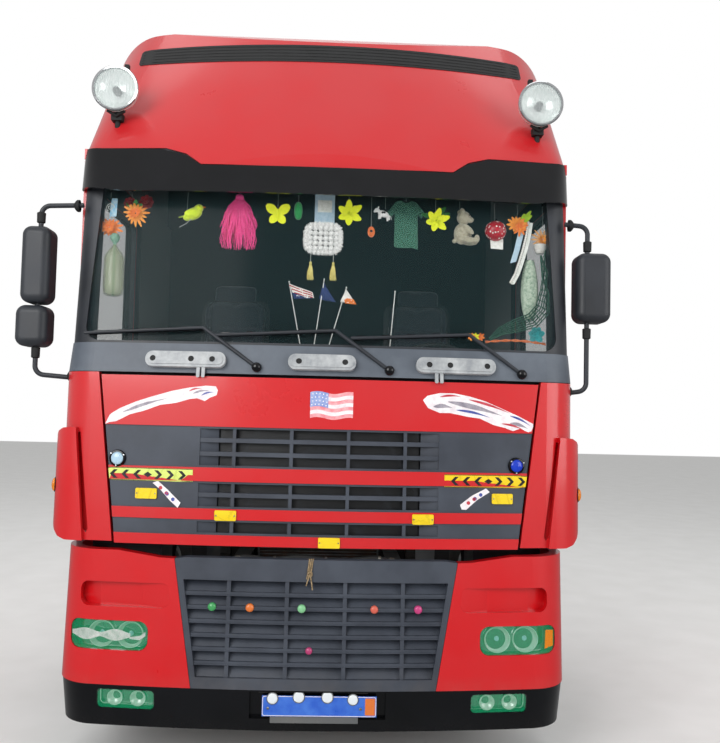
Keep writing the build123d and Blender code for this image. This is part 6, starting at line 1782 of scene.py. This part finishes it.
class TRUCK_OT_seats(bpy.types.Operator):
    """Upholster the two seats and the bunk"""
    bl_idname = "truck.seats"
    bl_label = "Seats and bunk"

    def execute(self, context):
        # Woven polyester seat cover: charcoal with blue-grey flecks; vinyl piping.
        stuff["cover"] = cloth("woven_polyester_charcoal", "#4B525E", "#2A2D34", 5, 0.1)
        stuff["ticking"] = cloth("woven_cotton_grey", "#777C84", "#5A5E66", 6, 0.15)
        stuff["piping"] = finish("sewn_vinyl_piping", "#1C1D20", "#2B2C30", 20, 0.45, 0.06, 2, 0.1)
        pad = stuffed("pad", (0.50, 0.50, 0.140), 0.009, 0.024, 0.10, 0.18,
                      ((1, (-0.12, 0.02, 0.15), 0.010), (0, (-0.165, 0.165), 0.012)))
        rest = stuffed("rest", (0.48, 0.62, 0.105), 0.009, 0.022, 0.06, 0.22,
                       ((1, (-0.16, -0.04, 0.08), 0.009), (0, (-0.160, 0.160), 0.011)))
        head = stuffed("head", (0.30, 0.13, 0.090), 0.008, 0.014, 0.10)
        arm = stuffed("arm", (0.30, 0.060, 0.050), 0.007, 0.008, 0.05)
        bed = stuffed("bed", (2.28, 0.515, 0.118), 0.020, 0.022, 0.05, 0.0,
                      ((0, (-0.76, -0.38, 0.0, 0.38, 0.76), 0.009),))
        lean = Matrix.Rotation(math.radians(82), 4, "X")
        turn = Matrix.Rotation(-math.pi / 2, 4, "Z")
        for name, x in (("left", 0.6), ("right", -0.6)):
            seat = Matrix.Translation((x, FACE + 1.272, 1.771))
            back = Matrix.Translation((x, FACE + 1.522, 2.150)) @ lean
            crown = Matrix.Translation((x, FACE + 1.577, 2.448)) @ lean
            upholster("seat_pad_" + name, pad, seat, "cover")
            upholster("seat_rest_" + name, rest, back, "cover")
            upholster("seat_head_" + name, head, crown, "cover")
            for part, offset in (("outer", 0.212), ("inner", -0.212)):
                place = Matrix.Translation((x + offset, FACE + 1.345, 2.060)) @ turn
                upholster("seat_arm_%s_%s" % (part, name), arm, place, "inside", False)
            mesh = bmesh.new()
            seam(mesh, pad, 0.030, 0.0045, seat)
            seam(mesh, pad, -0.035, 0.0035, seat)
            seam(mesh, rest, 0.022, 0.0045, back)
            seam(mesh, head, 0.012, 0.0035, crown)
            piece("seat_piping_" + name, mesh, "piping", "cab")
            # suspended base: two trays with a bellows between, rails on the floor
            mesh = bmesh.new()
            for low, high, half in ((1.452, 1.480, 0.160), (1.665, 1.700, 0.165)):
                box(mesh, (x - half, FACE + 1.085, low), (x + half, FACE + 1.495, high))
            for side in (-1, 1):
                box(mesh, (x + side * 0.125 - 0.018, FACE + 1.082, 1.440),
                    (x + side * 0.125 + 0.018, FACE + 1.498, 1.453))
                tube(mesh, [(x + side * 0.210, FACE + 1.500, 1.990), (x + side * 0.216, FACE + 1.46, 2.030),
                            (x + side * 0.214, FACE + 1.400, 2.038)], 0.012)
            tube(mesh, [(x - 0.10, FACE + 1.10, 1.60), (x + 0.10, FACE + 1.10, 1.60)], 0.008)
            shell = rounded_form((0.462, 0.60, 0.030), 8, 6.0, 0.0)
            bmesh.ops.transform(shell, matrix=Matrix.Translation((x, FACE + 1.580, 2.140)) @ lean,
                                verts=shell.verts[:])
            piece("seat_shell_" + name, shell, "inside", "cab")
            for side in (-1, 1):
                tube(mesh, [(x + side * 0.07, FACE + 1.560, 2.36), (x + side * 0.07, FACE + 1.575, 2.44)],
                     0.006)
            piece("seat_base_" + name, mesh, "inside", "cab", bevel=0.006)
            mesh = bmesh.new()
            rings = []
            for fold in range(13):
                half = 0.148 if fold % 2 else 0.128
                z = 1.478 + 0.188 * fold / 12
                rings.append([mesh.verts.new((x + px, FACE + 1.29 + py * 1.25, z))
                              for px, py in rounded(-half, half, -half, half, 0.05, 5)])
            skin(mesh, rings, False)
            piece("seat_bellows_" + name, mesh, "rubber", "cab")
        bunk = Matrix.Translation((0, FACE + 1.9225, 1.900))
        upholster("bunk_mattress", bed, bunk, "ticking")
        mesh = bmesh.new()
        seam(mesh, bed, 0.028, 0.0045, bunk)
        seam(mesh, bed, -0.028, 0.0045, bunk)
        piece("bunk_piping", mesh, "piping", "cab")
        # lockers under the bunk, with raised doors, beside and over the tunnel
        mesh = bmesh.new()
        front, back = FACE + 1.702, FACE + 2.185
        for low, high, foot in ((-1.150, -0.442, 1.440), (0.442, 1.150, 1.440), (-0.442, 0.442, 1.572)):
            box(mesh, (low, front + 0.012, foot), (high, back, 1.838))
            box(mesh, (low + 0.030, front, foot + 0.030), (high - 0.030, front + 0.014, 1.805))
        lockers = piece("bunk_lockers", mesh, "inside", "cab", bevel=0.008)
        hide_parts("seats_and_bunk")
        mesh = bmesh.new()
        for x in (-0.796, 0.0, 0.796):
            slab(mesh, rounded(x - 0.045, x + 0.045, 1.765, 1.785, 0.008), front - 0.004, front + 0.004)
        piece("bunk_latches", mesh, "black", "cab", bevel=0.002)
        return {"FINISHED"}


# Chassis
def lozenges(mesh, low, high, z, pitch, size=0.011):
    """Raised lozenges in alternating directions over a flat plate."""
    columns = int((high[0] - low[0]) / pitch)
    rows = int((high[1] - low[1]) / pitch)
    for row in range(rows):
        for column in range(columns):
            middle = Vector((low[0] + pitch * (column + 0.5), low[1] + pitch * (row + 0.5), z))
            turn = math.radians(45 if (row + column) % 2 else -45)
            along = Vector((math.cos(turn), math.sin(turn), 0)) * size
            across = Vector((-math.sin(turn), math.cos(turn), 0)) * size * 0.32
            ways = (along, across, -along, -across)
            ring = [mesh.verts.new(middle + way) for way in ways]
            top = [mesh.verts.new(middle + way * 0.6 + Vector((0, 0, 0.0022))) for way in ways]
            skin(mesh, [ring, top], False)
            mesh.faces.new(top)


def chambers(name, outer, middle, inner):
    """A tail lamp's lens in three colours, from the outside of the truck in."""
    made, tree = blank(name)
    place = add(tree, "TexCoord").outputs["Object"]
    across = add(tree, "Math", {0: add(tree, "SeparateXYZ", {0: place}).outputs["X"]},
                 operation="ABSOLUTE").outputs[0]
    outside = add(tree, "Math", {0: across, 1: 1.007}, operation="GREATER_THAN").outputs[0]
    inside = add(tree, "Math", {0: across, 1: 0.863}, operation="LESS_THAN").outputs[0]
    colour = add(tree, "Mix", {0: outside, 6: rgba(middle), 7: rgba(outer)}, data_type="RGBA").outputs[2]
    colour = add(tree, "Mix", {0: inside, 6: colour, 7: rgba(inner)}, data_type="RGBA").outputs[2]
    shader = add(tree, "BsdfPrincipled", {"Base Color": colour, "Roughness": 0.12, "IOR": 1.58,
                                          "Coat Weight": 0.6})
    prisms = add(tree, "TexVoronoi", {"Vector": place, "Scale": 110.0, "Randomness": 0.0}).outputs[0]
    bump = add(tree, "Bump", {"Height": prisms, "Strength": 0.7, "Distance": 0.002})
    tree.links.new(bump.outputs[0], shader.inputs["Normal"])
    add(tree, "OutputMaterial", {"Surface": shader.outputs[0]})
    return made


class TRUCK_OT_chassis_trim(bpy.types.Operator):
    """Fit the tread plates, mud flaps, bolts, straps, tail-lamp chambers and covers along the chassis"""
    bl_idname = "truck.chassis_trim"
    bl_label = "Chassis fittings"

    def execute(self, context):
        mesh = bmesh.new()
        lozenges(mesh, (-0.425, FACE + 2.385), (0.425, FACE + 3.375), 1.0315, 0.032)
        piece("catwalk_tread", mesh, "aluminium", "chassis")
        # rail bolts: paired heads with washers down both sides of each rail
        mesh = bmesh.new()
        for side in (-1, 1):
            for y in (-2.68, -2.46, -0.13, 0.46, 1.26, 1.44, 1.72, 2.02, 2.31, 2.52, 2.74, 2.80):
                for z in (0.795, 0.870, 0.945):
                    spot = (side * 0.400, y, z)
                    lathe(mesh, [(0.017, -0.002), (0.017, 0.003), (0.011, 0.004)], spot, (side, 0, 0), 14)
                    lathe(mesh, [(0.0125, 0.002), (0.0125, 0.011), (0.010, 0.013), (0, 0.013)], spot,
                          (side, 0, 0), 6)
        piece("rail_bolts", mesh, "zinc", "chassis")
        # mud flaps behind the drive wheels, ribbed, on a clamp bar
        flaps, bars = bmesh.new(), bmesh.new()
        for side in (-1, 1):
            low, high = sorted((side * 0.640, side * 1.215))
            slab(flaps, oblong(low, high, 0.330, 0.850), 2.772, 2.779)
            for index in range(13):
                x = low + 0.030 + 0.043 * index
                box(flaps, (x - 0.004, 2.768, 0.350), (x + 0.004, 2.772, 0.800))
            box(bars, (low, 2.764, 0.818), (high, 2.786, 0.850))
            for index in range(5):
                lathe(bars, [(0.010, 0), (0.010, 0.006), (0.007, 0.009), (0, 0.009)],
                      (low + 0.06 + 0.114 * index, 2.786, 0.834), (0, 1, 0), 8)
        piece("mud_flaps", flaps, "rubber", "chassis")
        piece("mud_flap_bars", bars, "zinc", "chassis")
        # entry steps: toothed tread strips
        mesh = bmesh.new()
        for side in (-1, 1):
            low, high = sorted((side * 0.860, side * 1.205))
            for top in (0.322, 0.632, 0.932):
                lozenges(mesh, (low, -2.52), (high, -2.27), top + 0.0195, 0.028, 0.010)
        piece("step_treads", mesh, "zinc", "chassis")
        # fuel tank: cap with grip ribs, breather, end-cap beads and rubber-faced straps
        cap, beads, straps = bmesh.new(), bmesh.new(), bmesh.new()
        lathe(cap, [(0.052, -0.018), (0.052, 0.006), (0.046, 0.012), (0.018, 0.014), (0, 0.014)],
              (0.760, -0.340, 1.020), UP, 40)
        for index in range(20):
            angle = 2 * math.pi * index / 20
            spot = (0.760 + 0.052 * math.cos(angle), -0.340 + 0.052 * math.sin(angle), 1.011)
            lathe(cap, [(0.004, -0.010), (0.004, 0.010)], spot, UP, 6)
        piece("tank_cap", cap, "black", "chassis")
        outline = rounded(0.4765, 1.1735, 0.4015, 1.0085, 0.080, 8)
        for y in (-0.545, 0.885):
            tube(beads, [(x, y, z) for x, z in outline], 0.0035, 6, closed=True)
        piece("tank_end_beads", beads, "aluminium", "chassis")
        # battery box lid ribs and catches, air bottle straps and drain taps
        lid, catches = bmesh.new(), bmesh.new()
        for index in range(6):
            y = -0.50 + 0.092 * index
            box(lid, (-1.120, y - 0.012, 1.008), (-0.520, y + 0.012, 1.0135))
        for y in (-0.42, -0.12):
            box(catches, (-1.166, y - 0.016, 0.840), (-1.158, y + 0.016, 0.930))
            lathe(catches, [(0.010, 0), (0.010, 0.006), (0.006, 0.009), (0, 0.009)], (-1.164, y, 0.925),
                  (-1, 0, 0), 14)
        for x in (-0.620, -0.930):
            for y in (-0.42, -0.12):
                ring = [(px, y, pz) for px, pz in circle(x, 0.436, 0.1215, 40)]
                tube(straps, ring, 0.0045, 6, closed=True)
                lathe(straps, [(0.009, -0.02), (0.009, 0.02)], (x + 0.115, y, 0.470), (0, 1, 0), 8)
        piece("battery_lid_ribs", lid, "trim", "chassis", bevel=0.002)
        piece("battery_catches", catches, "zinc", "chassis", bevel=0.0015)
        piece("air_bottle_straps", straps, "zinc", "chassis")
        # Moulded polycarbonate lens: amber, red and clear chambers over square prisms.
        made = chambers("moulded_polycarbonate_tail_lens", "#E07A10", "#A30C12", "#D9D5D2")
        cad["tail_lamps"].data.materials[0] = made
        return {"FINISHED"}


class TRUCK_OT_engine_dressing(bpy.types.Operator):
    """Fit the covers, manifolds, turbocharger, fan, pulleys and fins that show when the cab is tipped"""
    bl_idname = "truck.engine_dressing"
    bl_label = "Engine fittings"

    def execute(self, context):
        # Oil-stained cast aluminium: satin grey with brown creep from the joints.
        stuff["casting"] = finish("die_cast_aluminium", "#8B8D8E", "#6A645A", 90, 0.5, 0.1, 4, 0.25,
                                  Metallic=0.6)
        # Fire-scaled exhaust iron: rust brown, matt.
        stuff["scale"] = finish("heat_scaled_iron", "#5B3A2A", "#2F231D", 45, 0.85, 0.08, 4, 0.5)
        covers, irons, hoses, bolts, ribs = (bmesh.new() for _ in range(5))
        front, back = FACE + 0.700, FACE + 1.750
        # six rocker covers with a pressed rib and four bolts each
        for index in range(6):
            low = front + 0.022 + 0.170 * index
            made = rounded_form((0.430, 0.156, 0.075), 6, 7.0, 0.05)
            bmesh.ops.transform(made, matrix=Matrix.Translation((0.0, low + 0.078, 1.385)),
                                verts=made.verts[:])
            piece("rocker_cover_%d" % (index + 1), made, "casting", "chassis")
            for x in (-0.232, 0.232):
                for y in (low + 0.03, low + 0.126):
                    lathe(bolts, [(0.014, -0.002), (0.014, 0.003), (0.0095, 0.004), (0.0095, 0.012),
                                  (0, 0.013)], (x, y, 1.365), UP, 6)
        # side ribs and cover plates of the block
        for side in (-1, 1):
            for index in range(9):
                y = FACE + 0.70 + 0.130 * index
                box(ribs, (side * 0.310, y - 0.007, 0.62), (side * 0.322, y + 0.007, 1.27))
            for z in (0.66, 0.95, 1.255):
                box(ribs, (side * 0.310, FACE + 0.64, z - 0.008), (side * 0.323, FACE + 1.83, z + 0.008))
            for row in range(2):
                for index in range(8):
                    spot = (side * 0.310, FACE + 0.765 + 0.130 * index, 0.80 + 0.30 * row)
                    lathe(bolts, [(0.030, 0), (0.030, 0.004), (0.026, 0.006), (0, 0.006)], spot, (side, 0, 0),
                          20)
        # intake manifold on the right, exhaust and turbocharger on the left
        tube(covers, [(-0.272, front + 0.02, 1.330), (-0.276, front + 0.35, 1.340),
                      (-0.276, back - 0.15, 1.340), (-0.270, back, 1.326)], 0.040, 20)
        for index in range(6):
            y = front + 0.10 + 0.170 * index
            tube(covers, [(-0.276, y, 1.340), (-0.245, y, 1.372), (-0.210, y, 1.380)], 0.022, 14)
            tube(irons, [(0.276, y, 1.316), (0.250, y, 1.356), (0.212, y, 1.368)], 0.021, 14)
        tube(irons, [(0.284, front + 0.04, 1.302), (0.288, front + 0.45, 1.300), (0.284, back - 0.04, 1.302)],
             0.032, 20)
        turbo = Vector((0.300, FACE + 1.230, 1.225))
        lathe(irons, [(0.020, -0.070), (0.056, -0.060), (0.074, -0.036), (0.078, -0.010), (0.060, 0.006),
                      (0.026, 0.012)], turbo, (0, 1, 0), 36)
        lathe(covers, [(0.026, 0.010), (0.066, 0.018), (0.084, 0.042), (0.082, 0.066), (0.054, 0.082),
                       (0.036, 0.104), (0.036, 0.124)], turbo, (0, 1, 0), 36)
        tube(hoses, [turbo + Vector((0, 0.122, 0)), turbo + Vector((-0.006, 0.200, 0.030)),
                     turbo + Vector((-0.020, 0.270, 0.085)), turbo + Vector((-0.050, 0.330, 0.110))], 0.038,
             18)
        # front: fan, pulleys and belts behind the radiator
        hub = Vector((0.0, FACE + 0.618, 0.960))
        lathe(covers, [(0, -0.060), (0.055, -0.056), (0.078, -0.040), (0.082, 0.0), (0.060, 0.010)], hub,
              OUTWARD, 32)
        for index in range(9):
            angle = 2 * math.pi * index / 9
            way = upright(angle)
            pitched = way.cross(-OUTWARD) * 0.9 - OUTWARD
            leaf(hoses, hub + way * 0.060 + Vector((0, 0.028, 0)), way, pitched, 0.175, 0.110, 0.05, 0.2,
                 0.0025, 6, 0.75)
        for x, z, radius in ((-0.185, 1.120, 0.052), (0.190, 1.060, 0.062), (0.150, 0.720, 0.058),
                             (0.0, 0.690, 0.088)):
            spot = (x, FACE + 0.620, z)
            lathe(covers, [(0.014, -0.034), (radius, -0.030), (radius * 0.93, -0.022), (radius, -0.014),
                           (radius * 0.93, -0.006), (radius, 0.0)], spot, (0, 1, 0), 32)
        belt = [(-0.240, 1.145), (-0.140, 1.172), (0.150, 1.120), (0.248, 1.080), (0.215, 0.700),
                (0.080, 0.620), (-0.070, 0.640)]
        tube(hoses, [(x, FACE + 0.600, z) for x, z in belt], 0.008, 8, closed=True)
        # filters and the dipstick on the right side
        for index in range(2):
            spot = (-0.330, FACE + 1.02 + 0.150 * index, 0.700)
            lathe(covers, [(0, -0.004), (0.040, 0.0), (0.052, 0.012), (0.052, 0.185), (0.044, 0.200),
                           (0.030, 0.204)], spot, UP, 28)
        tube(hoses, [(-0.315, FACE + 1.55, 1.10), (-0.345, FACE + 1.50, 1.24), (-0.335, FACE + 1.36, 1.335),
                     (-0.300, FACE + 1.20, 1.362)], 0.016, 12)
        tube(hoses, [(0.16, FACE + 0.56, 1.300), (0.20, FACE + 0.60, 1.352), (0.17, FACE + 0.68, 1.385),
                     (0.10, FACE + 0.72, 1.362)], 0.030, 16)
        # gearbox: bell bolts, ribs and cover
        for index in range(14):
            angle = 2 * math.pi * index / 14
            x, z = 0.222 * math.cos(angle), 0.830 + 0.222 * math.sin(angle)
            lathe(bolts, [(0.013, 0), (0.013, 0.010), (0.010, 0.013), (0, 0.013)], (x, FACE + 1.850, z),
                  (0, 1, 0), 6)
        lathe(ribs, [(0.238, -0.004), (0.238, 0.020), (0.205, 0.024)], (0, FACE + 1.838, 0.830), (0, 1, 0),
              44)
        for side in (-1, 1):
            for index in range(6):
                y = FACE + 1.95 + 0.135 * index
                height = 1.02 - 0.19 * max(0, index - 1) / 5
                box(ribs, (side * 0.200, y - 0.007, 0.640), (side * 0.210, y + 0.007, height - 0.10))
        # radiator: header tank seams and fins
        fins = bmesh.new()
        for row in range(44):
            z = 0.612 + 0.0155 * row
            box(fins, (-0.298, FACE + 0.4265, z), (0.298, FACE + 0.4300, z + 0.004))
        for side in (-1, 1):
            box(fins, (side * 0.298, FACE + 0.424, 0.600), (side * 0.307, FACE + 0.524, 1.300))
        piece("radiator_fins", fins, "casting", "chassis")
        piece("engine_castings", covers, "casting", "chassis")
        piece("engine_irons", irons, "scale", "chassis")
        piece("engine_hoses", hoses, "rubber", "chassis")
        piece("engine_bolts", bolts, "zinc", "chassis")
        piece("engine_ribs", ribs, "cast", "chassis", bevel=0.003)
        return {"FINISHED"}


# The stage
class TRUCK_OT_stage(bpy.types.Operator):
    """Set the pale floor, the soft lights and the photograph's camera"""
    bl_idname = "truck.stage"
    bl_label = "Floor, light and camera"

    def execute(self, context):
        scene = context.scene
        scene.view_settings.view_transform = "Standard"
        made, tree = blank("cast_concrete_pale")
        path = add(tree, "LightPath")
        direct = add(tree, "Math", {0: path.outputs["Is Glossy Ray"], 1: path.outputs["Is Transmission Ray"]},
                     operation="MAXIMUM")
        mirrored = add(tree, "MapRange", {0: path.outputs["Is Glossy Ray"], 3: 0.9, 4: 0.3})
        place = add(tree, "TexCoord").outputs["Object"]
        speck = add(tree, "TexNoise", {"Vector": place, "Scale": 3.0, "Detail": 8.0}).outputs[0]
        colour = add(tree, "Mix", {0: speck, 6: rgba("#E4E4E2"), 7: rgba("#F2F2F1")},
                     data_type="RGBA").outputs[2]
        matt = add(tree, "BsdfPrincipled", {"Base Color": colour, "Roughness": 0.9})
        white = add(tree, "Emission", {"Color": rgba("#E9EAEA"), "Strength": mirrored.outputs[0]})
        mixed = add(tree, "MixShader", {0: direct.outputs[0], 1: matt.outputs[0], 2: white.outputs[0]})
        add(tree, "OutputMaterial", {"Surface": mixed.outputs[0]})
        mesh = bmesh.new()
        bmesh.ops.create_grid(mesh, x_segments=4, y_segments=4, size=30)
        data = bpy.data.meshes.new("floor")
        mesh.to_mesh(data)
        mesh.free()
        data.materials.append(made)
        floor = bpy.data.objects.new("floor", data)
        floor.location.z = cad_box[0][2] - 0.001
        scene.collection.objects.link(floor)
        world = bpy.data.worlds.new("pale_room")
        world.use_nodes = True
        tree = world.node_tree
        tree.nodes.clear()
        path = add(tree, "LightPath")
        seen = add(tree, "Math", {0: path.outputs["Is Camera Ray"], 1: path.outputs["Is Transmission Ray"]},
                   operation="MAXIMUM")
        strength = add(tree, "MapRange", {0: seen.outputs[0], 3: 0.55, 4: 1.0})
        back = add(tree, "Background", {"Color": rgba("#FFFFFF"), "Strength": strength.outputs[0]})
        add(tree, "OutputWorld", {"Surface": back.outputs[0]})
        scene.world = world
        # name, place, size, watts
        for name, place, size, watts in (("key", (-4.5, -9.5, 5.0), 5.0, 470),
                                         ("fill", (7.0, -7.5, 3.6), 5.0, 230),
                                         ("top", (0.0, 0.5, 9.0), 7.0, 240)):
            light = bpy.data.lights.new(name, "AREA")
            light.energy = watts
            light.size = size
            lamp = bpy.data.objects.new(name, light)
            lamp.matrix_world = facing(place, Vector(place) - Vector((0, 0, 1.6)))
            scene.collection.objects.link(lamp)
        # how the photograph was held, in radians
        yaw, pitch, roll = -0.0328, 0.050, 0.0236
        view = Vector((-math.sin(yaw) * math.cos(pitch), math.cos(yaw) * math.cos(pitch), math.sin(pitch)))
        level = Vector((math.cos(yaw), math.sin(yaw), 0))
        rise = level.cross(view)
        right = level * math.cos(roll) + rise * math.sin(roll)
        up = rise * math.cos(roll) - level * math.sin(roll)
        lens = bpy.data.cameras.new("photo_camera")
        lens.sensor_width = 36
        # the photograph's focal length and height, in pixels
        focal, tall = 800, 743
        lens.lens = focal * lens.sensor_width / tall
        camera = bpy.data.objects.new("photo_camera", lens)
        turn = Matrix((right, up, -view)).transposed().to_4x4()
        camera.matrix_world = Matrix.Translation((0.0555, -6.688, 1.704)) @ turn
        scene.collection.objects.link(camera)
        scene.camera = camera
        return {"FINISHED"}


class TRUCK_PT_dressing(bpy.types.Panel):
    """Lists the colours, sizes and steps of the dressing"""
    bl_label = "Truck dressing"
    bl_space_type = "VIEW_3D"
    bl_region_type = "UI"
    bl_category = "Truck"

    def draw(self, context):
        for name in TruckLook.__annotations__:
            self.layout.prop(context.scene.truck_look, name)
        for step in STEPS:
            self.layout.operator(step.bl_idname)


STEPS = (TRUCK_OT_paint, TRUCK_OT_tyres, TRUCK_OT_wheel_fittings, TRUCK_OT_nose_marks, TRUCK_OT_small_lamps,
         TRUCK_OT_head_lamps, TRUCK_OT_grille_backing, TRUCK_OT_cab_outside, TRUCK_OT_linings,
         TRUCK_OT_decorations, TRUCK_OT_seats, TRUCK_OT_chassis_trim, TRUCK_OT_engine_dressing,
         TRUCK_OT_stage)
CLASSES = (TruckLook,) + STEPS + (TRUCK_PT_dressing,)


def register():
    for item in CLASSES:
        bpy.utils.register_class(item)
    bpy.types.Scene.truck_look = bpy.props.PointerProperty(type=TruckLook)


def unregister():
    del bpy.types.Scene.truck_look
    for item in reversed(CLASSES):
        bpy.utils.unregister_class(item)


def main():
    register()
    for step in STEPS:
        group, name = step.bl_idname.split(".")
        getattr(getattr(bpy.ops, group), name)()


if __name__ == "__main__":
    main()
